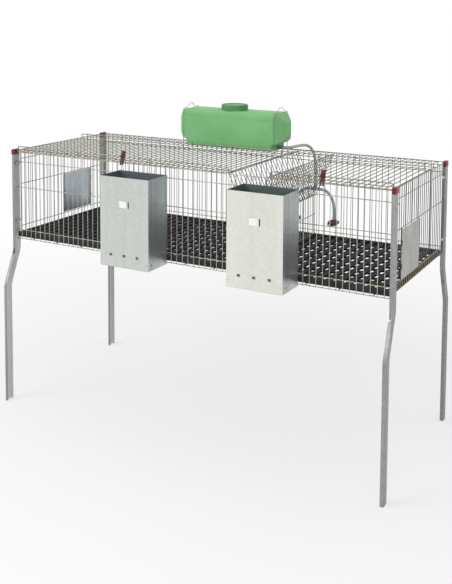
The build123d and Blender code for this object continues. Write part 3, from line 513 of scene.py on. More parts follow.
# %% Wire makers
def wires(starts, ends, radius, sides=8, sway=0.3, seed=1):
    """Straight round wires. point = start + way * along + radius * (cos a * across + sin a * over), where the way
    takes six values from tip to tip and the radius shrinks at both tips."""
    starts, ends = np.broadcast_arrays(np.atleast_2d(starts).astype(float), np.atleast_2d(ends).astype(float))
    along = ends - starts
    length = np.linalg.norm(along, axis=1, keepdims=True)
    along = along / length
    helper = np.where(np.abs(along[:, 2:]) > 0.9, (1.0, 0.0, 0.0), (0.0, 0.0, 1.0))
    across = np.cross(along, helper)
    across /= np.linalg.norm(across, axis=1, keepdims=True)
    over = np.cross(across, along)
    tip = 0.4 * radius
    way = np.c_[0 * length, 0 * length + tip, length / 3, 2 * length / 3, length - tip, length]
    size = radius * np.array((0.6, 1, 1, 1, 1, 0.6))
    angle = turns(sides)
    ring = np.cos(angle)[:, None] * across[:, None] + np.sin(angle)[:, None] * over[:, None]
    move = np.random.default_rng(seed).uniform(-sway, sway, (len(starts), 6, 2))
    move = move * np.array((0, 0, 1, 1, 0, 0))[:, None]
    centre = starts[:, None] + along[:, None] * way[..., None]
    centre = centre + move[..., :1] * across[:, None] + move[..., 1:] * over[:, None]
    rings = centre[:, :, None] + size[:, None, None] * ring[:, None]
    block = 6 * sides + 2
    points = np.concatenate([rings.reshape(len(starts), -1, 3), starts[:, None], ends[:, None]], 1).reshape(-1, 3)
    step = (np.arange(len(starts)) * block)[:, None, None]
    skin = grid_faces(6, sides, wrap=True)
    rim = np.arange(sides)
    tips = np.concatenate([fan_faces(rim[::-1], block - 2), fan_faces(rim + 5 * sides, block - 1)])
    return points, [(face[None] + step).reshape(-1, face.shape[1]) for face in (skin, tips)]


def at(**given):
    """A table of points from x, y and z, where a single number serves every point."""
    return np.stack(np.broadcast_arrays(*[np.asarray(given[axis], float) for axis in "xyz"]), -1).reshape(-1, 3)


def span(axis, low, high, radius, sides=8, sway=0.3, seed=1, **others):
    """Wires along one axis from low to high, at the places that the other two coordinates give."""
    return wires(at(**{axis: low}, **others), at(**{axis: high}, **others), radius, sides, sway, seed)


def bead(size):
    """A small flattened ball: three rings of six points between two poles."""
    turn = np.arange(6) * np.pi / 3
    tilt = np.radians((-45, 0, 45))[:, None]
    flat = np.ones(6)
    rings = np.stack([np.cos(tilt) * np.cos(turn), np.cos(tilt) * np.sin(turn), np.sin(tilt) * flat], -1)
    points = np.concatenate([rings.reshape(-1, 3), ((0, 0, -1), (0, 0, 1))]) * np.array(size)
    ends = np.concatenate([fan_faces(np.arange(6)[::-1], 18), fan_faces(np.arange(12, 18), 19)])
    return points, [grid_faces(3, 6, wrap=True), ends]


def grid_of(x, y, z):
    """Every combination of three lists of coordinates as a table of points. A single number is a list of one."""
    return np.stack(np.meshgrid(x, y, z, indexing="ij"), -1).reshape(-1, 3).astype(float)


def beads_at(size, x, y, z):
    """A weld bead at every combination of the coordinates."""
    return repeat(bead(size), grid_of(x, y, z))


def wire_piece(node, ending, parts, welds, body="frame"):
    """A piece of wire: its parts with their finishes, and the dull beads of its welds."""
    make_piece(node, ending, [*parts, (welds, weld_zinc)], body)

print("one wire has", 5 * 8 + 16, "faces, one weld bead", sum(map(len, bead((1, 1, 1))[1])))

# %% [markdown]
# ### Panels
# On each panel the level wires lie outside and the upright ones inside, pressed about a third into each other by
# the weld. Behind each feeder and each nest door some upright wires are cut away.

# %% Front and rear panels
wire, pitch = 2.4, 22.4
half_wire = wire / 2
upright, level = 1.3, 1.5       # radius of the upright and of the level wires
stub = 3.4                      # uprights below the lowest level wire
press = 1.7                     # between the middles of two welded wires
panel_end = 740.4               # ends of the level wires in front and at the rear
mid_y, front_y, rear_y = 28.75, -257.25, 314.75
front_rows = np.array((624.0, 658.0, 823.0, 921.0, 957.0))
rear_rows = np.array((624.0, 658.0, 927.0, 963.0))
columns = np.arange(-33, 34)
column_x = columns * pitch


def cut_uprights(places, cut, low, high, sill, head):
    """Lower and upper ends of upright wires: whole ones, then the two stumps of each wire in a cut."""
    whole, stumps = places[~cut], places[cut]
    spots = np.concatenate([whole, stumps, stumps])
    foot = np.r_[np.full(len(whole), low), np.full(len(stumps), low), np.full(len(stumps), head - half_wire)]
    top = np.r_[np.full(len(whole), high), np.full(len(stumps), sill + half_wire), np.full(len(stumps), high)]
    return spots, foot, top

behind_feeder = (np.abs(columns + 7) < 4) | (np.abs(columns - 15) < 4)
spots, foot, top = cut_uprights(column_x, behind_feeder, front_rows[0] - stub, front_rows[-1] + half_wire,
                                front_rows[1], front_rows[2])
uprights = span("z", foot, top, upright, x=spots, y=front_y + press, seed=2)
levels = span("x", -panel_end, panel_end, level, y=front_y, z=front_rows[:-1], seed=3)
head = span("x", -panel_end, panel_end, level, y=front_y, z=front_rows[-1], seed=4)
welds = beads_at((1.7, 1.5, 1.7), column_x, front_y + press / 2, front_rows)
wire_piece("front_panel", "wires", [(uprights, column_zinc), (join(levels, head), row_zinc)], welds)

uprights = span("z", rear_rows[0] - stub, rear_rows[-1] + half_wire, upright, x=column_x, y=rear_y, seed=4)
levels = span("x", -panel_end, panel_end, level, y=rear_y + press, z=rear_rows, seed=5)
welds = beads_at((1.7, 1.5, 1.7), column_x, rear_y + press / 2, rear_rows)
# The rear uprights take a darker finish as painted shade.
wire_piece("rear_panel", "wires", [(uprights, rear_shade_zinc), (levels, row_zinc)], welds)
print("front and rear panels:", len(spots) + len(columns), "uprights")

# %% [markdown]
# The sides' lowest wire lies higher than the front's. The short feet of the upright wires catch the light from the
# floor, so they take the paler finish of the level wires.

# %% Side panels
side_x, side_half = 744.25, 257.6      # level wires of the sides, and their edge uprights off the cage's middle
side_rows = np.r_[front_rows[0] + 17.0, front_rows[1:] + 6.0]
side_columns = mid_y - side_half + pitch * np.arange(24)
nest = {"left": (side_columns[12], side_columns[20]), "right": (side_columns[2], side_columns[10])}
for side, name in ((-1, "left"), (1, "right")):
    cut = (side_columns > nest[name][0] + 1) & (side_columns < nest[name][1] - 1)
    spots, foot, top = cut_uprights(side_columns, cut, side_rows[0] - half_wire, side_rows[-1] + half_wire,
                                    side_rows[1], side_rows[2])
    inner, outer = side * (side_x - press), side * side_x
    ends = side_columns[0] - half_wire, side_columns[-1] + half_wire
    low = foot < side_rows[1]
    feet = span("z", foot[low], side_rows[1], upright, x=inner, y=spots[low], sway=0.0, seed=5)
    uprights = span("z", np.maximum(foot, side_rows[1]), top, upright, x=inner, y=spots, seed=6 + side)
    levels = span("y", *ends, level, x=outer, z=side_rows[1:-1], seed=9)
    # The top and bottom level wires take the darker roof finish as painted shade.
    edges = span("y", *ends, level, x=outer, z=side_rows[[0, -1]], seed=10)
    welds = beads_at((1.5, 1.7, 1.7), side * (side_x - press / 2), side_columns, side_rows)
    wire_piece(f"side_panel_{name}", "wires",
               [(uprights, shade_zinc), (join(feet, levels), row_zinc), (edges, roof_shade_zinc)], welds)
print("nest windows:", {name: [round(float(v), 2) for v in window] for name, window in nest.items()})

# %% [markdown]
# ### Roof, rack, partition and floor bars
# The fixed strip of roof carries the tank on its short wires. The hay rack is a V of two sloping nets under
# rails, and an upright net under it parts the two rooms. Thick round bars under the floor carry the mats.

# %% Roof strip
strip_z = 965.4
strip_lines = rear_y - 140.0 + np.array((0.0, 66.0, 133.0))
strip_ends = np.array((745.45, 745.45, 728.0))
short = column_x[1:-1]
uprights = span("y", strip_lines[0] - half_wire, rear_y + 0.4, upright, x=short, z=strip_z - 0.9, sway=0.2, seed=11)
levels = span("x", -strip_ends, strip_ends, level, y=strip_lines, z=strip_z - 0.2, seed=12)
welds = beads_at((1.7, 1.7, 1.2), short, strip_lines, strip_z - 0.5)
wire_piece("roof_strip", "wires", [(uprights, shade_zinc), (levels, roof_shade_zinc)], welds)
print("roof strip:", len(short), "short wires")

# %% Hay rack and partition
rack_x, rack_half, rack_foot, rack_depth = 252.0, 73.0, 2.2, 162.0
rail_z = 959.4
apex_z = rail_z - rack_depth
rack_front, rack_rear = front_y + half_wire + 0.3, rear_y - half_wire - 0.3
rack_columns = np.linspace(rack_front + half_wire, rack_rear - half_wire, 26)
for side, name in ((-1, "left"), (1, "right")):
    rise = np.array((side * (rack_half - rack_foot), 0.0, rack_depth))
    slope = rise / np.linalg.norm(rise)
    outward = np.array((slope[2], 0.0, -slope[0])) * side
    foot = np.array((rack_x + side * rack_foot, 0.0, apex_z))
    head = foot + slope * (np.linalg.norm(rise) - half_wire)
    offsets = at(x=0, y=rack_columns, z=0)
    bars = wires(foot - slope * half_wire + offsets, head + offsets, upright, seed=13)
    line = foot + np.array((0.0, 0.5, 1.0))[:, None] * (head - foot) + outward * 1.4
    ends = [line + at(x=0, y=y, z=0) for y in (rack_columns[0] - half_wire, rack_columns[-1] + half_wire)]
    levels = wires(*ends, level, seed=14)
    welds = repeat(bead((1.5, 1.7, 1.5)), ((line - outward * 0.7)[:, None] + offsets).reshape(-1, 3))
    rail = span("y", front_y - half_wire, rack_rear, level, x=rack_x + side * rack_half, z=rail_z, seed=15)
    wire_piece(f"rack_net_{name}", "wires", [(bars, shade_zinc), (join(levels, rail), row_zinc)], welds)

mat_top = 647.2
part_rows = np.array((mat_top + half_wire, mat_top + 75.0, apex_z - wire - 0.3))
uprights = span("z", part_rows[0] - half_wire, part_rows[-1] + half_wire, upright, x=rack_x, y=rack_columns, seed=16)
levels = span("y", rack_columns[0] - half_wire, rack_columns[-1] + half_wire, level, x=rack_x + 1.3, z=part_rows,
              seed=17)
welds = beads_at((1.5, 1.7, 1.7), rack_x + 0.7, rack_columns, part_rows)
wire_piece("partition", "wires", [(uprights, column_zinc), (levels, row_zinc)], welds)
print("rack:", len(rack_columns), "bars each side, apex at", apex_z)

# %% Floor bars
rod_radius = 2.0
bar_x, bar_z = (np.arange(-6, 7) * 5 + 0.5) * pitch, 627.2
tie_y, tie_z, tie_weld_z = mid_y + np.array((-140.0, 140.0)), 624.8, 626.0
bars = span("y", front_y - half_wire, rear_y + half_wire, rod_radius, x=bar_x, z=bar_z, sides=10, seed=18)
ties = span("x", bar_x[0] - 2, bar_x[-1] + 2, rod_radius, y=tie_y, z=tie_z, sides=10, seed=19)
welds = beads_at((2.6, 2.6, 1.8), bar_x, tie_y, tie_weld_z)
wire_piece("floor_support", "bars", [(join(bars, ties), rod_zinc)], welds)
print("floor bars:", len(bar_x), "and", len(tie_y), "ties")

# %% [markdown]
# ### Bent wire
# The hinge rod, the lids' rails, the staples and the tank's straps are steel wire bent cold round a peg. Their
# path is straight runs joined by arcs, and a circle is carried along it. Each path lies in one plane, so the
# circle's two directions are the plane's normal and the line across the path.

# %% Bent wire makers
def soft_corner(first, corner, last, steps):
    """Points that round a corner: (1 - s) ** 2 * first + 2 * s * (1 - s) * corner + s ** 2 * last, where s runs from
    0 to 1."""
    share = np.linspace(0, 1, steps)[:, None]
    return (1 - share) ** 2 * first + 2 * share * (1 - share) * corner + share ** 2 * last


def bent_path(corners, bend, steps=5):
    """Straight runs with an arc at each inner corner. The arc starts bend * tan(half the turn) before the corner,
    or nearly in the middle of a run that is shorter."""
    corners = np.asarray(corners, float)
    pieces = [corners[:1]]
    for before, corner, after in zip(corners, corners[1:], corners[2:]):
        come, go = before - corner, after - corner
        come_length, go_length = np.linalg.norm(come), np.linalg.norm(go)
        come, go = come / come_length, go / go_length
        half_turn = (np.pi - np.arccos(np.clip(come @ go, -1, 1))) / 2
        reach = min(bend * np.tan(half_turn), 0.48 * come_length, 0.48 * go_length)
        pieces.append(soft_corner(corner + come * reach, corner, corner + go * reach, steps))
    pieces.append(corners[-1:])
    return np.concatenate(pieces)


def tube(path, radius, normal, sides=10):
    """A circle carried along a path in a plane: point = path + r * (cos a * normal + sin a * across), where across
    is at right angles to the path. Both ends are drawn in a little and closed."""
    path = np.asarray(path, float)
    way = np.gradient(path, axis=0)
    way /= np.linalg.norm(way, axis=1, keepdims=True)
    first, last = path[:1] + way[:1] * 0.4 * radius, path[-1:] - way[-1:] * 0.4 * radius
    path = np.concatenate([path[:1], first, path[1:-1], last, path[-1:]])
    way = np.concatenate([way[:1], way[:1], way[1:-1], way[-1:], way[-1:]])
    normal = np.broadcast_to(np.asarray(normal, float), way.shape)
    across = np.cross(way, normal)
    across /= np.linalg.norm(across, axis=1, keepdims=True)
    size = np.r_[0.6, np.ones(len(path) - 2), 0.6] * radius
    angle = turns(sides)
    ring = np.cos(angle)[:, None] * normal[:, None] + np.sin(angle)[:, None] * across[:, None]
    return stacked(path[:, None] + size[:, None, None] * ring)


def spun(profile, around=24, ribs=None):
    """A profile of (radius, height) pairs turned round the Z axis. A radius of nearly nothing at an end closes it.
    ribs(angle, height) may change the radius along the turn."""
    profile = np.asarray(profile, float)
    angle = turns(around)
    radius = np.broadcast_to(profile[:, :1], (len(profile), around))
    if ribs is not None:
        radius = radius + ribs(angle[None], profile[:, 1:])
    height = np.broadcast_to(profile[:, 1:], radius.shape)
    return stacked(np.stack([radius * np.cos(angle), radius * np.sin(angle), height], -1))


def ring_of(profile, around=24):
    """A closed outline of (radius, height) pairs turned round the Z axis, as a bush or an eye is."""
    profile = np.asarray(profile, float)
    angle = turns(around)
    closed = np.concatenate([profile, profile[:1]])
    rings = np.stack([closed[:, :1] * np.cos(angle), closed[:, :1] * np.sin(angle), closed[:, 1:] + 0 * angle], -1)
    return rings.reshape(-1, 3), [grid_faces(len(closed), around, wrap=True)]


def round_wire_ring(middle, thick, around=20, sides=8):
    """A ring of round wire: a small circle of the wire's radius turned round the Z axis at the middle radius."""
    a = turns(sides)
    return ring_of(np.c_[middle + thick * np.cos(a), thick * np.sin(a)], around)

X, Y, Z = np.eye(3)
print("bent wire makers ready")

# %% Hinge rod and staples
hinge_y, hinge_z, side_top = 161.75, 978.0, 964.2
post_foot, post_weld_z, side_weld_z = 960.2, 961.0, 964.6


def hoop(start, stop, y, low):
    """A level rod at the hinge's height whose two ends are bent down to a lower height."""
    path = [(start, y, low), (start, y, hinge_z), (stop, y, hinge_z), (stop, y, low)]
    return tube(bent_path(path, 8.0), rod_radius, Y, sides=12)


post_x = rack_x + np.array((-rack_half, rack_half))
posts = span("z", post_foot, hinge_z, rod_radius, x=post_x, y=hinge_y, sides=10, sway=0.0)
weld_spots = [at(x=post_x, y=hinge_y, z=post_weld_z), at(x=(-side_x, side_x), y=hinge_y, z=side_weld_z)]
welds = repeat(bead((2.6, 2.6, 1.6)), np.concatenate(weld_spots))
rod = join(hoop(-side_x, side_x, hinge_y, side_top), posts)
wire_piece("hinge_rod", "wire", [(rod, rod_zinc)], welds)

leg_x, leg_y = 750.0, 285.0     # outer face of the legs, and their middle off the cage's middle
flange_y = 271.5                # a leg's inner flange off the cage's middle
edge_x = 739.2                  # edge uprights of front and rear
staple_half, staple_tail = 2.85, 0.5
winds = at(x=0, y=0, z=(-2.0, 2.0))


def staple(tail, edge, middle, height, along_y):
    """A staple of two windings: out along one side of an edge wire, across it, and back along the other."""
    near, far = middle - staple_half, middle + staple_half
    flat = np.array(((tail, near), (edge, near), (edge, far), (tail, far)))
    path = np.c_[flat[:, ::-1] if along_y else flat, np.full(4, height)]
    return repeat(tube(bent_path(path, staple_half), 1.7, Z, sides=8), winds)


clips = []
for height in (691.0, 913.0):
    for side in (-1, 1):
        for panel in (front_y, rear_y):
            clips.append(staple(side * (leg_x + staple_tail), side * (edge_x - staple_half), panel, height, False))
        for end in (-1, 1):
            tail, edge = mid_y + end * (flange_y + staple_tail), mid_y + end * (side_half - staple_half)
            clips.append(staple(tail, edge, side * side_x, height, True))
# The staples take the bright pin finish as painted light inside the shaded channel.
make_piece("panel_clips", "wire", [(join(*clips), pin_steel)])
print("hinge rod and", len(clips), "staples")

# %% [markdown]
# ### Lids and latches
# Each lid is a net that hangs on the hinge rod by closed eyes. A rail of thicker wire stands up at its front to
# be gripped, and a plastic latch swings on the rail. The latch is a leaning tongue: a bush on the rail, a solid
# upper arm with a small nub, and two prongs below that snap over the front panel's top wire.

# %% Lids
lid_z, lid_bar, lid_level = 959.7, 1.65, 1.36     # height, and radius of the bars and of the level wires
eye_radius, eye_wire, stem_wire = 3.27, 1.15, 1.1
lid_rows = np.array((front_y, front_y + 42.0, hinge_y))
rail_y = front_y + 6.0
lids = {"left": (-735.5, 174.5, 6, 41), "right": (329.5, 735.5, 4, 18)}
for name, (lid_start, lid_stop, eyes, count) in lids.items():
    lid_columns = np.linspace(lid_start, lid_stop, count + 1)
    bars = span("y", lid_rows[0] - half_wire, lid_rows[-1] + half_wire, lid_bar, x=lid_columns, z=lid_z + 1.4,
                sway=0.5, seed=21)
    levels = span("x", lid_start - half_wire, lid_stop + half_wire, lid_level, y=lid_rows, z=lid_z + 0.2, seed=22)
    welds = beads_at((1.7, 1.7, 1.4), lid_columns, lid_rows, lid_z + 0.7)
    eye_x = lid_columns[1 + np.round(np.arange(eyes) * (count - 2) / (eyes - 1)).astype(int)]
    ring = turned(round_wire_ring(eye_radius, eye_wire), (0, hinge_y, hinge_z), Y, Z, X)
    stems = span("z", lid_z, hinge_z - 2.6, stem_wire, x=eye_x, y=hinge_y, sway=0.0)
    net = join(bars, levels, repeat(ring, at(x=eye_x, y=0, z=0)), stems)
    # The lid's net takes the darker roof finish as painted shade.
    wire_piece(f"lid_net_{name}", "wires", [(net, roof_shade_zinc)], welds, f"lid_{name}")
    post_x = lid_columns[[count // 3, 2 * count // 3]]
    posts = span("z", lid_z, hinge_z, rod_radius, x=post_x, y=rail_y, sides=10, sway=0.0)
    rail = join(hoop(lid_start, lid_stop, rail_y, lid_z), posts)
    welds = repeat(bead((2.5, 2.5, 1.5)), at(x=np.r_[post_x, lid_start, lid_stop], y=rail_y, z=lid_z + 2.0))
    wire_piece(f"lid_rail_{name}", "wire", [(rail, rod_zinc)], welds, f"lid_{name}")
    print("lid", name, "has", count + 1, "bars and", eyes, "eyes")

# %% [markdown]
# Moulded and pressed parts have no sharp edge. A rounded block serves for the latches, caps, tags and door plates: a
# stack of rounded rectangles that draw in at the top and the bottom.

# %% Rounded blocks
def rounded_outline(half_x, half_y, radius, arc=4):
    """A rectangle with round corners: each corner's middle plus radius * (cos a, sin a) over its quarter turn."""
    radius = min(radius, half_x * 0.999, half_y * 0.999)
    angle = np.linspace(0, np.pi / 2, arc)
    turns = angle[None] + np.arange(4)[:, None] * np.pi / 2
    corner = np.array(((1, 1), (-1, 1), (-1, -1), (1, -1)), float) * (half_x - radius, half_y - radius)
    return (corner[:, None] + radius * np.stack([np.cos(turns), np.sin(turns)], -1)).reshape(-1, 2)


def rounded_block(size, corner, edge, arc=4, dome=0.0):
    """A block round the origin with round upright corners and round top and bottom edges: rounded rectangles drawn
    in by edge * (1 - cos a) while they climb the edge's quarter turn. The dome lifts the top's middle point."""
    half_x, half_y, half_z = np.array(size) / 2
    turn = np.linspace(0, np.pi / 2, 4)
    inset = np.r_[edge * (1 - np.sin(turn)), edge * (1 - np.cos(turn))]
    height = np.r_[-half_z + edge * (1 - np.cos(turn)), half_z - edge * (1 - np.sin(turn))]
    rings = np.stack([level_ring(rounded_outline(half_x - i, half_y - i, max(corner - i, 0.15), arc), h)
                      for i, h in zip(inset, height)])
    points, faces = stacked(rings)
    points[-1, 2] += dome
    return points, faces

print("a rounded block has", len(rounded_block((1, 1, 1), 0.2, 0.2)[0]), "points")

# %% Latches
lean = math.radians(18.0)
lean_up = np.array((0, math.sin(lean), math.cos(lean)))
lean_out = np.array((0, math.cos(lean), -math.sin(lean)))
bush_profile = [(2.1, -8.5), (3.9, -8.5), (4.5, -7.9), (4.5, 7.9), (3.9, 8.5), (2.1, 8.5)]
nub_profile = [(0.01, 0), (2.5, 0), (2.5, 4.0), (2.1, 4.8), (1.2, 5.0), (0.01, 5.0)]


def leaning(pivot, size, corner, edge, rise, out=0.0, across=0.0):
    """A rounded block in the latch's leaning axes: so far up from the pivot, in front of it and to its side."""
    centre = pivot + lean_up * rise - lean_out * out + X * across
    return turned(rounded_block(size, corner, edge), centre, X, lean_out, lean_up)


for name, latch_x in (("left", -249.76), ("right", 509.6)):
    pivot = np.array((latch_x, rail_y, hinge_z))
    bush = turned(ring_of(bush_profile), pivot, Y, Z, X)
    upper = leaning(pivot, (15.4, 4.0, 18.0), 1.2, 1.4, 12.4)
    web = leaning(pivot, (9.0, 3.6, 15.0), 0.8, 0.8, -9.6)
    prongs = [leaning(pivot, (6.5, 4.0, 26.6), 1.1, 1.3, -16.7, across=shift) for shift in (-4.45, 4.45)]
    rib = leaning(pivot, (10.6, 1.6, 11.4), 0.7, 0.6, 12.6, out=2.4)
    nub = turned(spun(nub_profile, 16), pivot + lean_up * 17.0 + X * 5.4, Y, Z, X)
    make_piece(f"latch_{name}", "tongue", [(join(bush, upper, web, *prongs, rib, nub), latch_brown)],
               f"latch_{name}")
print("latches lean", math.degrees(lean), "degrees")

# %% [markdown]
# ## Legs
# Each leg is one strip of galvanised sheet rolled to a channel, open towards the cage, and bent twice so that the
# foot stands out. The channel's outline is carried down the leg. Where the bend is, the web buckles inwards a
# little, as thin sheet does. The plastic cap on top is a rounded box with a bead round its lower edge.

# %% Channel legs
leg_top, knees, flare, ease = 966, (580.0, 452.0), 54.0, 4.5
cap_x, cap_z, rim_z = 744.7, 958.3, 950.1
grip_x, grip_z, tongue_x = 751.3, 961.0, 743.2


def leg_channel(side, end):
    """A channel outline carried from foot to top. The slide outwards is slope * (soft step at the upper knee minus
    soft step at the lower one), where a soft step is width * log(1 + exp(distance / width)). At each knee the web
    sinks by a bell curve of the height. At the upper knee the outer flange is cut, and its tongue is folded in
    behind the cut."""
    half, flange, bend, thick = 16.0, 12.0, 2.6, 1.5
    near_knee = np.linspace(-30, 26, 22)
    z = np.unique(np.r_[np.linspace(0, leg_top, 24), knees[0] + near_knee, knees[1] + near_knee])
    ramp = [ease * np.logaddexp(0, (knee - z) / ease) for knee in knees]
    slide = flare / (knees[0] - knees[1]) * (ramp[0] - ramp[1])
    quarter = np.linspace(0, np.pi / 2, 5)
    bow = np.c_[np.sin(quarter), np.cos(quarter)]
    lip = np.array(((half, -7.0), (half, -flange)))
    corner = np.array((half - bend, -bend))
    right_outer = np.concatenate([corner + bend * bow, lip])
    right_inner = np.concatenate([corner + (bend - thick) * bow, lip - (thick, 0)])
    web = np.linspace(-9, 9, 7)
    mirror = np.array((-1, 1))
    outer = np.concatenate([(right_outer * mirror)[::-1], np.c_[web, 0 * web], right_outer])
    inner = np.concatenate([(right_inner * mirror)[::-1], np.c_[web, 0 * web - thick], right_inner])
    outline = np.concatenate([outer, inner[::-1]])
    dent = sum(1.7 * np.exp(-((z - knee) / 9.0) ** 2) for knee in knees)
    hollow = np.clip(1 - (outline[:, 0] / 11.0) ** 2, 0, 1) * (outline[:, 1] > -3)
    depth = outline[None, :, 1] - dent[:, None] * hollow[None]
    notch = 0.84 * np.exp(-((z - knees[0] + 5.0) / 14.0) ** 6)[:, None] * (outline[None, :, 0] > 12)
    depth = depth - np.minimum(depth + 3.0, 0) * notch
    across = outline[None, :, 0] * end + 0 * depth
    x = side * (leg_x + depth)
    y = mid_y + end * (leg_y + slide[:, None]) + across
    rings = np.stack([x, y, np.broadcast_to(z[:, None], x.shape)], -1)
    count, around = rings.shape[:2]
    faces = grid_faces(count, around, wrap=True).reshape(count - 1, around, 4)
    first = np.arange(len(outer) - 1)
    last = around - 1 - first
    ends = [base + np.stack([first, first + 1, last - 1, last], -1) for base in (0, (count - 1) * around)]
    points = rings.reshape(-1, 3)
    outside = [faces[:, :len(outer)].reshape(-1, 4), *ends]
    inside = [faces[:, len(outer):].reshape(-1, 4)]
    reach = end * (leg_y + np.interp(knees[0] - 5.0, z, slide) + 12.6)
    tongue = rounded_block((9.4, 1.2, 25.0), 0.5, 0.4)
    folded = turned(tongue, (side * tongue_x, mid_y + reach, knees[0] - 3.0))
    return (points, outside), (points, inside), folded


# The rear legs and the plates behind the knees' cuts take the darker finish as painted shade; the channel's inside
# takes the paler lining as painted light.
for end, end_name, finish in ((-1, "front", leg_zinc), (1, "rear", leg_dull)):
    for side, side_name in ((-1, "left"), (1, "right")):
        place = f"{end_name}_{side_name}"
        outside, inside, folded = leg_channel(side, end)
        make_piece(f"leg_{place}", "channel", [(outside, finish), (inside, leg_lining_light), (folded, leg_dull)],
                   crease=50.0, merge=0.02)
        middle = mid_y + end * leg_y
        top = turned(rounded_block((13.2, 34.4, 19.4), 2.2, 1.8, dome=0.3), (side * cap_x, middle, cap_z))
        rim = turned(rounded_block((13.6, 35.2, 3.0), 2.4, 1.0), (side * cap_x, middle, rim_z))
        grip = turned(rounded_block((0.8, 20.0, 1.6), 0.3, 0.3), (side * grip_x, middle, grip_z))
        make_piece(f"leg_cap_{place}", "moulded", [(join(top, rim, grip), crimson)])
print("four legs that flare by", flare, "mm")

# %% [markdown]
# ## Floor mats
# Three moulded mats lie side by side on the floor bars. Each has rows of slots with a raised rim. One slot's cell
# is worked out once: rings of sixteen points lead from the cell's square edge over the rim and down the slot's
# wall. The cell is then repeated over the mat, and its skirt runs round the outside.

# %% Slotted mats
cell, slot, mat_size = np.array((34.0, 49.0)), np.array((16.0, 40.0)), np.array((486.0, 565.0))
cells = np.array((14, 11))
mat_low, mat_step, plate = 629.2, 493.0, 6.4


def square_walk(steps_x, steps_y):
    """Points along the edge of the square from -1 to 1, counter-clockwise, with so many steps on its sides."""
    x, y = np.linspace(-1, 1, steps_x + 1)[:-1], np.linspace(-1, 1, steps_y + 1)[:-1]
    one_x, one_y = np.ones(steps_x), np.ones(steps_y)
    return np.concatenate([np.c_[x, -one_x], np.c_[one_y, y], np.c_[-x, one_x], np.c_[-one_y, -y]])


def slot_cell():
    """Rings from the cell's edge to the slot: outline = walk * (half size - corner) + corner * unit direction. The
    first three bands are the top with the slot's raised lip, the others its wall and the underside."""
    walk = square_walk(4, 4)
    unit = walk / np.linalg.norm(walk, axis=1, keepdims=True)
    corner = 5.0
    rings = [level_ring(walk * cell / 2, mat_top - 0.8)]
    for grow, z in ((3.0, mat_top - 0.7), (1.1, mat_top), (0.0, mat_top - 0.9), (-0.3, mat_top - plate)):
        rings.append(level_ring(walk * (slot / 2 - corner) + (corner + grow) * unit, z))
    rings.append(level_ring(walk * cell / 2, mat_top - plate))
    rings = np.stack(rings)
    bands = grid_faces(len(rings), 16, wrap=True).reshape(-1, 16, 4)
    points = rings.reshape(-1, 3)
    return (points, [bands[:3].reshape(-1, 4)]), (points, [bands[3:].reshape(-1, 4)])


def mat_skirt():
    """Rings round the whole mat, from the cells' outer edge over the rounded rim, down the skirt and up inside it."""
    grid = cell * cells / 2
    walk = square_walk(cells[0] * 4, cells[1] * 4)
    full = mat_size / 2
    steps = ((grid, mat_top - 0.8), (full - 2.4, mat_top - 0.7), (full - 1.6, mat_top), (full - 0.5, mat_top - 0.3),
             (full, mat_top - 1.4), (full, mat_low + 0.8), (full - 0.8, mat_low), (full - 4.0, mat_low),
             (full - 4.0, mat_top - plate), (grid, mat_top - plate))
    rings = np.stack([level_ring(walk * half, z) for half, z in steps])
    return rings.reshape(-1, 3), [grid_faces(len(rings), len(walk), wrap=True)]


cell_top, cell_under = slot_cell()
cell_x, cell_y = [(np.arange(count) - (count - 1) / 2) * size for count, size in zip(cells, cell)]
# The slots' walls and the underside take the nearly black finish as painted shade.
for name, mat_x in (("left", -mat_step), ("middle", 0.0), ("right", mat_step)):
    spots = grid_of(mat_x + cell_x, mid_y + cell_y, 0)
    top = join(repeat(cell_top, spots), repeat(mat_skirt(), (mat_x, mid_y, 0)))
    make_piece(f"floor_mat_{name}", "moulded", [(top, mat_black), (repeat(cell_under, spots), mat_slot_shade)],
               crease=50.0, merge=0.02)
print("each mat has", len(spots), "slots")

# %% [markdown]
# ## Nest doors
# A plate of thin sheet closes each nest window. It is cut plain, with small round corners, and two knuckles curl
# round the pin wire beside the window.

# %% Doors and pins
door_low, door_high = 667.0, 826.0
door_height, door_z = door_high - door_low, (door_low + door_high) / 2
pin_low, pin_high, pin_radius = 661.0, 832.0, 1.5
knuckle, knuckle_gap = 18.0, 33.0     # a knuckle's length, and its distance from the plate's end
curl = ring_of([(1.56, 0), (2.3, 0), (2.5, 0.3), (2.5, 17.7), (2.3, knuckle), (1.56, knuckle)], 32)
root = rounded_block((4.4, knuckle, 1.0), 0.4, 0.3)
# The right plate takes the warm finish as painted light, the left one the bluish finish as painted shade, and the
# knuckles a dark finish as painted shade.
for side, name, (hinge_edge, free_edge), finish in ((1, "right", nest["right"], door_warm_light),
                                                    (-1, "left", nest["left"][::-1], door_cool_shade)):
    toward = math.copysign(1.0, free_edge - hinge_edge)
    pin_x, plate_x, pin_y = side * 746.95, side * 746.45, hinge_edge - toward * 6.0
    near, far = pin_y + toward * 2.8, free_edge + toward * 1.5
    width = abs(far - near)
    sheet = rounded_block((width, door_height, 1.0), 3.0, 0.3, arc=9)
    sheet = turned(sheet, (plate_x, (near + far) / 2, door_z), Y, Z, X)
    curls = []
    for low in (door_low + knuckle_gap, door_high - knuckle_gap - knuckle):
        curls.append(turned(curl, (pin_x, pin_y, low)))
        curls.append(turned(root, (plate_x, near - toward * 1.0, low + knuckle / 2), Y, Z, X))
    make_piece(f"door_{name}", "plate", [(sheet, finish), (join(*curls), clip_shade_zinc)], f"door_{name}",
               crease=12.0)
    pin = span("z", pin_low, pin_high, pin_radius, x=pin_x, y=pin_y, sides=12, sway=0.0)
    welds = beads_at((1.6, 2.0, 1.8), side * 746.0, pin_y, (pin_low + 3.0, pin_high - 3.0))
    wire_piece(f"door_pin_{name}", "wire", [(pin, rod_zinc)], welds)
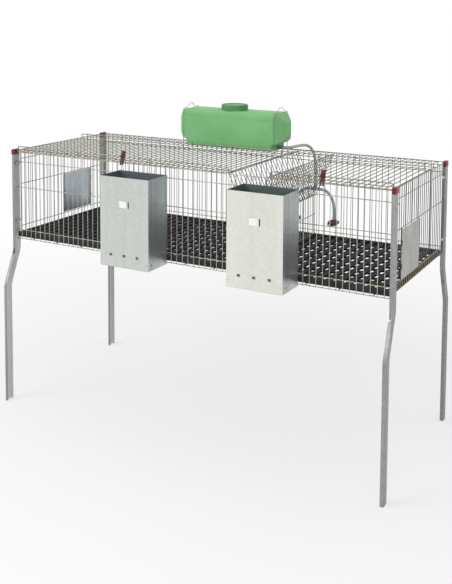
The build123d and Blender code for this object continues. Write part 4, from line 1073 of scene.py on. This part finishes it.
print("door plates", round(width, 1), "by", door_height, "mm")

# %% [markdown]
# ## Feeders
# A feeder is a hopper of bright sheet hung on the front panel. Its wall is one skin: a long strip that runs round
# a rounded rectangle, drawn as a flat grid of lines with blocks taken out for the mouths at the back, the holes
# for crumbs at the front and the slit beside the blank tag. A Solidify modifier gives the sheet its thickness.
# The wall is dished by a few tenths of a millimetre, so that it mirrors the cage unevenly, as real sheet does.

# %% Sheet with holes
def sheet_grid(us, vs, holes):
    """A flat grid of lines us by vs. A hole (middle u, v, half sizes, corner, block half sizes) takes the block's
    faces out and joins the block's edge to the hole: outline = walk * (half - corner) + corner * unit direction."""
    u, v = np.meshgrid(us, vs, indexing="ij")
    points = np.stack([u.ravel(), v.ravel()], -1)
    index = np.arange(len(points)).reshape(u.shape)
    keep = np.ones((len(us) - 1, len(vs) - 1), bool)
    faces = []
    for middle_u, middle_v, half_u, half_v, corner, block_u, block_v in holes:
        i0, i1 = np.searchsorted(us, (middle_u - block_u - 0.01, middle_u + block_u - 0.01))
        j0, j1 = np.searchsorted(vs, (middle_v - block_v - 0.01, middle_v + block_v - 0.01))
        keep[i0:i1, j0:j1] = False
        rim = np.concatenate([index[i0:i1, j0], index[i1, j0:j1], index[i0 + 1:i1 + 1, j1][::-1],
                              index[i0, j0 + 1:j1 + 1][::-1]])
        walk = (points[rim] - (middle_u, middle_v)) / (block_u, block_v)
        unit = walk / np.linalg.norm(walk, axis=1, keepdims=True)
        outline = (middle_u, middle_v) + walk * (half_u - corner, half_v - corner) + corner * unit
        numbers = len(points) + np.arange(len(rim))
        points = np.concatenate([points, outline])
        faces.append(np.stack([rim, np.roll(rim, -1), np.roll(numbers, -1), numbers], -1))
    quads = np.stack([index[:-1, :-1], index[1:, :-1], index[1:, 1:], index[:-1, 1:]], -1)[keep]
    faces = np.concatenate([quads, *faces])
    used, renumbered = np.unique(faces, return_inverse=True)
    return points[used], renumbered.reshape(faces.shape)


def lines(low, high, step, *extra):
    """Grid lines from low to high about a step apart, together with some that have to be there."""
    plain = np.linspace(low, high, max(2, int(round((high - low) / step)) + 1))
    extra = np.array(extra, float)
    plain = plain[np.min(np.abs(plain[:, None] - np.r_[extra, low - 1e3][None]), axis=1) > 0.3 * step]
    return np.unique(np.round(np.r_[low, plain, extra, high], 4))

print("sheet maker ready")

# %% Hopper skin
feeder_width, feeder_back, feeder_front = 198.0, -259.95, -381.95
hopper_low, hopper_top, hopper_bend = 619.2, 931.0, 2.2
crumb_holes, crumb_z = np.array((-54.0, 0.0, 54.0)), 660.0
mouth_mid, mouth_z, slit_x, tag_z = 46.1, 713.0, 18.6, 838.0


def hopper_skin():
    """The hopper's wall as one strip. Its length runs round a rounded rectangle: half the back, left side, front,
    right side, half the back. point = place on the rectangle at that length, moved inwards by a product of waves."""
    half_x, half_y = feeder_width / 2, (feeder_back - feeder_front) / 2
    corners = np.array(((-half_x, half_y), (-half_x, -half_y), (half_x, -half_y), (half_x, half_y)))
    angle = np.pi / 2 * np.arange(1, 5)[:, None] + np.linspace(0, np.pi / 2, 5)
    inset = corners - np.sign(corners) * hopper_bend
    arcs = inset[:, None] + hopper_bend * np.stack([np.cos(angle), np.sin(angle)], -1)
    seam = np.array([(0.0, half_y)])
    path = np.concatenate([seam, arcs.reshape(-1, 2), seam])
    length = np.r_[0, np.cumsum(np.linalg.norm(np.diff(path, axis=0), axis=1))]
    total = length[-1]
    front_mid = total / 2
    hole_u = front_mid + crumb_holes
    hole_lines = (hole_u[:, None] + np.array((-12.0, -6.0, 0.0, 6.0, 12.0))).ravel()
    slit_u = front_mid + slit_x
    slit_lines = slit_u + np.array((-6.0, -3.0, 0.0, 3.0, 6.0))
    mouth_lines = np.array((1.0, 23.55, 46.1, 68.65, 91.2))
    us = lines(0.0, total, 15.0, *length[1:-1], *hole_lines, *slit_lines, *mouth_lines, *(total - mouth_lines))
    vs = lines(hopper_low, hopper_top, 16.0, 648, 654, 660, 666, 672, 688, 713, 738, 762, 823, 830, 838, 846, 853)
    holes = [(u, crumb_z, 6.4, 4.8, 4.7, 12.0, 12.0) for u in hole_u]
    holes += [(slit_u, tag_z, 2.1, 12.0, 1.2, 6.0, 15.0)]
    holes += [(u, mouth_z, 41.0, 45.0, 6.0, 45.1, 49.0) for u in (mouth_mid, total - mouth_mid)]
    flat, faces = sheet_grid(us, vs, holes)
    x, y = np.interp(flat[:, 0], length, path[:, 0]), np.interp(flat[:, 0], length, path[:, 1])
    z = flat[:, 1]
    wall_x, wall_y = np.abs(x) / half_x, np.abs(y) / half_y
    along = np.where(wall_y > wall_x, x, y + 30.0)
    dish = 0.16 * (1 + np.sin(z / 60.0 + 0.8) * np.cos(along / 33.0)) + 0.02 * (1 + np.cos(along / 9.0))
    dish = dish * (1 - np.minimum(wall_x, wall_y) ** 8) * np.clip((hopper_top - z) / 30.0, 0, 1)
    x = x - np.where(wall_y > wall_x, 0, np.sign(x) * dish)
    y = y - np.where(wall_y > wall_x, np.sign(y) * dish, 0)
    points = np.stack([x, y, z], -1)
    on_side = np.mean(wall_x[faces] > wall_y[faces], axis=1) > 0.5
    return points, faces[~on_side], faces[on_side]

skin, broad_faces, side_faces = hopper_skin()
print("hopper skin:", len(skin), "points")

# %% [markdown]
# The hopper's edges are cut plain. A pan closes the bottom: its flaps go up inside the walls and are riveted to
# them. Two bent hooks at the back hang the feeder on a wire, and a blank tag sits on the front.

# %% Feeder pieces
feeder_mid = (feeder_back + feeder_front) / 2
hook_top, hook_y = 923.7, front_y + 2.7
pan_half, pan_low, pan_high, pan_depth = feeder_width / 2 - 1.6, 619.4, 656.0, 119.6
rivet_y, rivet_z, dot_z, flap_z = 122 / 3, 637.7, 640.0, 658.6
ramp_line = ((1.2, 760.0), (40.0, 725.0), (78.0, 690.0), (80.0, 686.0))
rivet_profile = [(0.01, -2.0), (1.45, -2.0), (1.45, 0.0), (3.0, 0.0), (2.9, 0.5), (2.2, 1.05), (1.1, 1.35),
                 (0.01, 1.42)]
dot_profile = [(0.01, -0.6), (1.5, -0.6), (1.5, 0.1), (1.1, 0.5), (0.01, 0.7)]


def strip_along(path, width, direction):
    """A flat strip of sheet: a path carried along one direction from minus half to plus half the width."""
    path = np.asarray(path, float)
    offset = np.asarray(direction, float) * width / 2
    points = np.stack([path - offset, path + offset], 1).reshape(-1, 3)
    return points, [grid_faces(len(path), 2)[:, ::-1]]


# Each feeder's front and back take its painted light or shade, its sides a darker finish as painted shade, and its
# inside the darker lining as painted shade.
for name, feeder_x, finish, dull, lining in (("left", -156.8, feeder_cool_shade, feeder_cool_side_shade, lining_cool_shade),
                                             ("right", 336.0, feeder_warm_light, feeder_warm_side_shade, lining_warm_shade)):
    body = f"feeder_{name}"
    placed = skin + (feeder_x, feeder_mid, 0)
    make_piece(f"{body}_hopper", "sheet", [((placed, [broad_faces]), finish), ((placed, [side_faces]), dull)],
               body, crease=60.0, merge=0.02, sheet=1.0, lining=lining)

    pan_line = [(-pan_half, 0, pan_high), (-pan_half, 0, pan_low), (pan_half, 0, pan_low), (pan_half, 0, pan_high)]
    pan = strip_along(bent_path(pan_line, 2.2) + (feeder_x, feeder_mid, 0), pan_depth, Y)
    make_piece(f"{body}_pan", "sheet", [(pan, lining)], body, crease=60.0, sheet=1.0)

    ramp = np.array([(0, feeder_back - back, z) for back, z in ramp_line])
    ramp_strip = strip_along(ramp + (feeder_x, 0, 0), feeder_width - 2.6, X)
    make_piece(f"{body}_baffle", "sheet", [(ramp_strip, lining)], body, sheet=1.0)

    hook_line = [(0, feeder_back, hook_top - 33.0), (0, feeder_back, hook_top), (0, hook_y, hook_top),
                 (0, hook_y, hook_top - 12.5)]
    hook_path = bent_path(hook_line, 1.4)[::-1]
    hooks = join(*[strip_along(hook_path + (feeder_x + shift, 0, 0), 12.0, X) for shift in (-56.0, 56.0)])
    make_piece(f"{body}_hooks", "strip", [(hooks, lining)], body, sheet=1.1)

    rivet, dot = spun(rivet_profile, 16), spun(dot_profile, 12)
    studs = [turned(rivet, (feeder_x + side * (feeder_width / 2 - 0.1), y, rivet_z), Y, Z * side, X * side)
             for side in (-1, 1) for y in (feeder_mid - rivet_y, feeder_mid + rivet_y)]
    studs += [turned(dot, (feeder_x + shift, feeder_front, dot_z), X, Z, -Y) for shift in (-93.0, 93.0)]
    flap = rounded_block((11.6, 6.2, 0.8), 3.0, 0.3)
    flaps = [turned(flap, (feeder_x + shift, feeder_front + 2.2, flap_z), X, Z, -Y) for shift in crumb_holes]
    make_piece(f"{body}_rivets", "", [(join(*studs), weld_zinc), (join(*flaps), lining)], body,
               name=f"{body}_rivet_heads")

    tag = turned(rounded_block((30.0, 22.0, 0.8), 2.7, 0.3), (feeder_x - 3.2, feeder_front - 0.3, tag_z), X, Z, -Y)
    make_piece(f"{body}_tag", "plate", [(tag, tag_white)], body)
print("two feeders")

# %% [markdown]
# ## Water tank
# The tank is blow-moulded: a long body with chamfered ends, a narrower base and a round neck. It is a stack of
# level outlines. Each outline is a rectangle with cut corners whose half sizes follow two tables of heights, and
# the last rings lead from the outline to the neck's circle. The lines of the mould are shallow grooves.

# %% Tank body
tank_x, tank_y, tank_z = -58.24, 239.75, 966.6
heights = np.array((0, 1.2, 4, 10, 22, 25, 27, 30, 34, 35.2, 36.2, 37.2, 38.4, 43, 48, 60, 85, 104, 110, 113, 116.6,
                    117.8, 118.8, 119.8, 121, 124, 127, 130, 134, 138, 142, 144.2, 145))
half_length = np.interp(
    heights, (0, 1.2, 4, 10, 24, 27, 30, 36.2, 44, 50, 86, 110, 116, 122, 138, 142, 144.2, 145),
    (181, 184.5, 186.4, 187, 187.6, 193, 205.5, 214.5, 225.6, 228, 229, 228, 225.4, 220, 204.6, 200, 196.4, 190))
half_depth = np.interp(
    heights, (0, 1.2, 4, 10, 20, 86, 130, 134, 138, 142, 144.2, 145),
    (47, 51.5, 55.8, 58.4, 59, 59.3, 59, 58.6, 57.6, 55, 51.5, 47))
half_depth = half_depth - 0.8 * (np.abs(heights - 36.2) < 0.5) - 0.8 * (np.abs(heights - 118.8) < 0.5)


def tank_outlines(half_x, half_y):
    """Rectangles with cut corners, one for each height. The cut is half_x + half_y - 256, but at least 5, and
    1.2 times as long along X. The eight corners are soft, and the long edges carry points of their own."""
    cut = np.maximum(half_x + half_y - 256.0, 5.0)
    one = np.stack([np.stack([half_x, half_y - cut], -1), np.stack([half_x - 1.2 * cut, half_y], -1)], 1)
    two = one[:, ::-1] * (-1, 1)
    corners = np.concatenate([one, two, one * (-1, -1), two * (-1, -1)], 1)
    come, go = np.roll(corners, 1, 1) - corners, np.roll(corners, -1, 1) - corners
    come_length, go_length = [np.linalg.norm(way, axis=2, keepdims=True) for way in (come, go)]
    reach = np.minimum(4.0, 0.4 * np.minimum(come_length, go_length))
    first, last = corners + come / come_length * reach, corners + go / go_length * reach
    arcs = soft_corner(first[:, :, None], corners[:, :, None], last[:, :, None], 5)
    rows = []
    for number, between in enumerate((0, 14, 0, 6, 0, 14, 0, 6)):
        rows.append(arcs[:, number])
        if between:
            step = np.linspace(0, 1, between + 2)[1:-1, None]
            rows.append(arcs[:, number, -1:] + step * (arcs[:, (number + 1) % 8, :1] - arcs[:, number, -1:]))
    return np.concatenate(rows, 1)


outlines = tank_outlines(half_length, half_depth)
body_rings = [level_ring(outline, z) for outline, z in zip(outlines, heights)]
around = outlines.shape[1]
ways = np.arctan2(outlines[-1, :, 1] / half_depth[-1], outlines[-1, :, 0] / half_length[-1])
order = np.argsort(ways % (2 * np.pi), kind="stable")
angle = np.empty(around)
angle[order] = (np.arange(around) + 0.5) * 2 * np.pi / around
circle = np.stack([np.cos(angle), np.sin(angle)], -1)
crown = [level_ring((1 - t) * outlines[-1] + t * 46.6 * circle, heights[-1] + 0.9 * t) for t in (0.3, 0.65, 1.0)]
neck_profile = ((46.0, 147.0), (46.0, 161.0), (45.4, 162.0), (43.5, 162.0), (43.3, 160.0))
neck = [level_ring(r * circle, z) for r, z in neck_profile]
rings = np.stack([*body_rings, *crown, *neck])
tank = stacked(rings + np.array((tank_x, tank_y, tank_z)))
make_piece("tank_body", "moulded", [(tank, tank_green)], crease=30.0)
print("tank outline:", around, "points,", len(rings), "rings")

# %% [markdown]
# The screw cap has ribs for the hand: its radius sinks in 36 places round the rim. Its top is a sunk disc inside a
# raised edge. Two wire straps hold the tank down, with a hump on top for a finger, and the outlet's fitting is a
# turned form with a ribbed collar.

# %% Cap, straps and outlet
notches = 36
cap_profile = [(46.3, 0), (51.0, 0), (51.8, 0.7), (52, 2), (52, 17), (51.7, 19), (50.9, 20.9), (49.4, 21.8),
               (47.6, 22), (45.6, 21.9), (44.4, 21.0), (44.0, 19.4), (40, 19.1), (24, 19.1), (23, 19.9), (20, 19.9),
               (19, 19.1), (6, 19.1), (0.01, 19.1)]


def cap_ribs(turn, height):
    """The rim's radius sinks by 1.3 in rounded notches, only where the rim stands upright."""
    upright_part = np.clip((height - 1.0) / 1.0, 0, 1) * np.clip((18.6 - height) / 1.4, 0, 1)
    return -1.3 * np.clip(np.cos(notches * turn), 0, 1) ** 2 * upright_part


cap_place, cap_around = (tank_x, tank_y, 1112.0), 6 * notches
cap_rim = turned(spun(cap_profile[:12], cap_around, cap_ribs), cap_place)
cap_disc = turned(spun(cap_profile[11:], cap_around), cap_place)
make_piece("tank_cap", "ribbed", [(cap_rim, cap_green), (cap_disc, cap_pale)], "tank_cap",
           crease=45.0, merge=0.02)

strap_low, strap_high, strap_front, strap_rear = 961.9, 1113.3, 179.05, 300.45
hook_front, hook_rear, strap_end = 171.65, 310.65, 966.0
strap_x, strap_radius, strap_hump = 197.12, 1.15, 17
straps = []
for side, foot, crest in ((-1, 29.0, 10.0), (1, 40.0, 13.0)):
    hump = strap_high + strap_hump
    strap_line = [(hook_front, strap_end), (hook_front, strap_low), (strap_front, strap_low),
                  (strap_front, strap_high), (tank_y - foot, strap_high), (tank_y - crest, hump),
                  (tank_y + crest, hump), (tank_y + foot, strap_high), (strap_rear, strap_high),
                  (strap_rear, strap_low), (hook_rear, strap_low), (hook_rear, strap_end)]
    path = bent_path([(tank_x + side * strap_x, y, z) for y, z in strap_line], 9.0, steps=7)
    straps.append(tube(path, strap_radius, X, sides=10))
make_piece("tank_straps", "wire", [(join(*straps), strap_zinc)])

outlet = spun([(0.01, -5), (6, -5), (6, 0), (7.5, 0), (7.5, 3.4), (6.9, 4.2), (6, 4.4), (6, 9.6), (6.8, 10.2),
               (7, 11), (6.5, 12), (7, 13), (6.5, 14.2), (7, 15.2), (7, 18.4), (6.4, 19.2), (0.01, 19.2)], 28)
outlet = turned(outlet, (tank_x + 188.0, tank_y, 979.2), Y, Z, X)
make_piece("tank_outlet", "fitting", [(outlet, cap_green)])
print("cap, straps and outlet")

# %% [markdown]
# ## Tee and drinkers
# The hoses push onto a moulded tee. Each drinker is a round body behind the rear panel with an inlet on top, a
# tapered nozzle inside the cage, and a steel pin that the animal pushes. All are turned forms.

# %% Tee, drinkers and nipples
arm = spun([(0.01, 0), (6.4, 0), (6.4, 9.5), (7, 10.2), (7, 11.6), (6.3, 12.3), (7, 13.0), (7, 16.0), (6.2, 17),
            (0.01, 17)], 24)
ball = spun([(0.01, -7.4), (3.2, -6.7), (5.8, -4.6), (7.2, -1.6), (7.2, 1.6), (5.8, 4.6), (3.2, 6.7),
             (0.01, 7.4)], 24)
tee_axes = ((arm, Y, Z, X), (arm, Y, -Z, -X), (arm,), (ball,))
tee = join(*[turned(shape, (tee_x, hose_y, tee_z), *axes) for shape, *axes in tee_axes])
tee_piece = make_piece("hose_tee", "moulded", [(tee, hose_grey)])

drinker_z, shell_y, nozzle_y, wide = 694.0, 316.25, 313.25, 1.6
shell = spun([(0.01, -3), (8, -3), (8, 0), (11.2, 0), (12, 0.8), (12, 5), (11.4, 5.6), (11.4, 7.4), (12, 8),
              (12, 19.5), (11.3, 21.6), (9.4, 23), (4, 23), (3.4, 22.2), (0.01, 22.2)], 32)
inlet = spun([(0.01, 4), (6.5, 4), (6.5, 14), (7.1, 14.8), (7.1, 16.4), (6.4, 17.2), (6.5, 19.4), (6.0, 20),
              (0.01, 20)], 24)
nozzle = ring_of([(2.56, 0), (11.4, 0), (12, 0.6), (12, 5.2), (11.2, 6), (10.6, 6.6), (9.9, 12), (8.8, 18), (7.6, 25),
                  (7.0, 28.6), (6.2, 30), (2.56, 30)], 32)
pin = spun([(0.01, -3.1), (3.6, -3.1), (4.2, -2.6), (4.2, -0.6), (3.8, -0.3), (2.5, -0.3), (2.5, 45.6), (2.2, 46.6),
            (1.4, 47), (0.01, 47)], 20)
for name, drinker_x in (("left", 168.0), ("right", 324.8)):
    nose = (drinker_x, nozzle_y, drinker_z)
    outer_half = turned(shell, (drinker_x, shell_y, drinker_z), X * wide, -Z * 0.84, Y)
    fed = turned(inlet, (drinker_x, hose_y, drinker_z))
    make_piece(f"drinker_{name}", "moulded", [(outer_half, drinker_red), (fed, hose_grey)])
    make_piece(f"drinker_nozzle_{name}", "moulded", [(turned(nozzle, nose, X * wide, Z, -Y), drinker_red)])
    make_piece(f"nipple_{name}", "pin", [(turned(pin, nose, X, Z, -Y), pin_steel)], f"nipple_{name}")
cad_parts["tank_cap_seal"].data.materials.clear()
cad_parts["tank_cap_seal"].data.materials.append(seal_black)
print("tee and two drinkers")

# %% Hoses on their fittings
hose_curve("hose_main", main_route)
hose_curve("hose_left", branch_route(-1))
hose_curve("hose_right", branch_route(1))
print("three hoses")

# %% [markdown]
# ## Studio
# The photograph has a plain white ground. The floor is a pale matt sheet near the cage, so that it keeps a soft
# shadow, and farther out it turns to plain white. The world is white where it is seen or mirrored, and gives a
# milder light from all round. Three large soft lamps add a little direction.

# %% World
world = bpy.data.worlds.new("studio")
bpy.context.scene.world = world
world.use_nodes = True
sky = world.node_tree
sky.nodes.clear()
rays = add_node(sky, "ShaderNodeLightPath").outputs
seen = sums(sky, "MAXIMUM", rays["Is Camera Ray"], rays["Is Glossy Ray"])
seen = sums(sky, "MAXIMUM", seen, rays["Is Transmission Ray"])
soft = add_node(sky, "ShaderNodeBackground", {"Color": (1, 1, 1, 1), "Strength": 0.62})
white = add_node(sky, "ShaderNodeBackground", {"Color": (1, 1, 1, 1), "Strength": 1.0})
mixed = add_node(sky, "ShaderNodeMixShader", {0: seen, 1: soft.outputs[0], 2: white.outputs[0]})
add_node(sky, "ShaderNodeOutputWorld", {"Surface": mixed.outputs[0]})
print("world: soft 0.62, seen 1.0")

# %% Floor
floor_mesh = bpy.data.meshes.new("studio_floor")
radius = np.array((0.0, 0.8, 1.6, 3.0, 6.0, 12.0, 25.0, 60.0))[:, None]
turn = turns(48)
floor_rings = np.stack([radius * np.cos(turn), radius * np.sin(turn), 0 * radius * turn - 0.0004], -1)
floor_mesh.from_pydata(floor_rings.reshape(-1, 3).tolist(), [], grid_faces(len(radius), 48, wrap=True).tolist())
floor = add_object("studio_floor", floor_mesh)
floor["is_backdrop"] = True
paper = bpy.data.materials.new("studio_paper")
paper.use_nodes = True
tree = paper.node_tree
tree.nodes.clear()
place = add_node(tree, "ShaderNodeTexCoord").outputs["Object"]
distance = add_node(tree, "ShaderNodeVectorMath", {0: place}, operation="LENGTH").outputs["Value"]
fading = stretch(tree, distance, 1.1, 3.0, 0.55, 1.0)
matt = add_node(tree, "ShaderNodeBsdfDiffuse", {"Color": (0.93, 0.93, 0.93, 1)})
plain = add_node(tree, "ShaderNodeEmission", {"Color": (1, 1, 1, 1), "Strength": 1.0})
ground = add_node(tree, "ShaderNodeMixShader", {0: fading, 1: matt.outputs[0], 2: plain.outputs[0]})
add_node(tree, "ShaderNodeOutputMaterial", {"Surface": ground.outputs[0]})
floor_mesh.materials.append(paper)
print("floor:", len(floor_mesh.polygons), "faces")

# %% Lamps
def soft_lamp(name, place, target, size, power):
    """A square soft box that looks from its place at a target."""
    light = bpy.data.lights.new(name, "AREA")
    light.shape = "SQUARE"
    light.size = size
    light.energy = power
    away = np.array(place, float) - np.array(target, float)
    away /= np.linalg.norm(away)
    flat = np.cross(Z, away)
    flat /= np.linalg.norm(flat)
    lamp = add_object(name, light)
    lamp.matrix_world = axes_matrix(place, flat, np.cross(away, flat), away)


soft_lamp("key", (-2.4, -3.6, 3.4), (0, 0, 0.7), 3.0, 90.0)
soft_lamp("fill", (1.8, -3.8, 2.3), (0, 0, 0.7), 3.0, 36.0)
soft_lamp("top", (0.3, 0.6, 4.2), (0, 0.1, 0.7), 3.0, 14.0)
bpy.context.scene.view_settings.view_transform = "Standard"
print("three lamps")

# %% [markdown]
# The size of the finished model is written beside the CAD model's, so that the two can be compared.

# %% Size
seen_box = [list(corner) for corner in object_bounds()]
print("visual box in metres:", [[round(v, 4) for v in corner] for corner in seen_box])
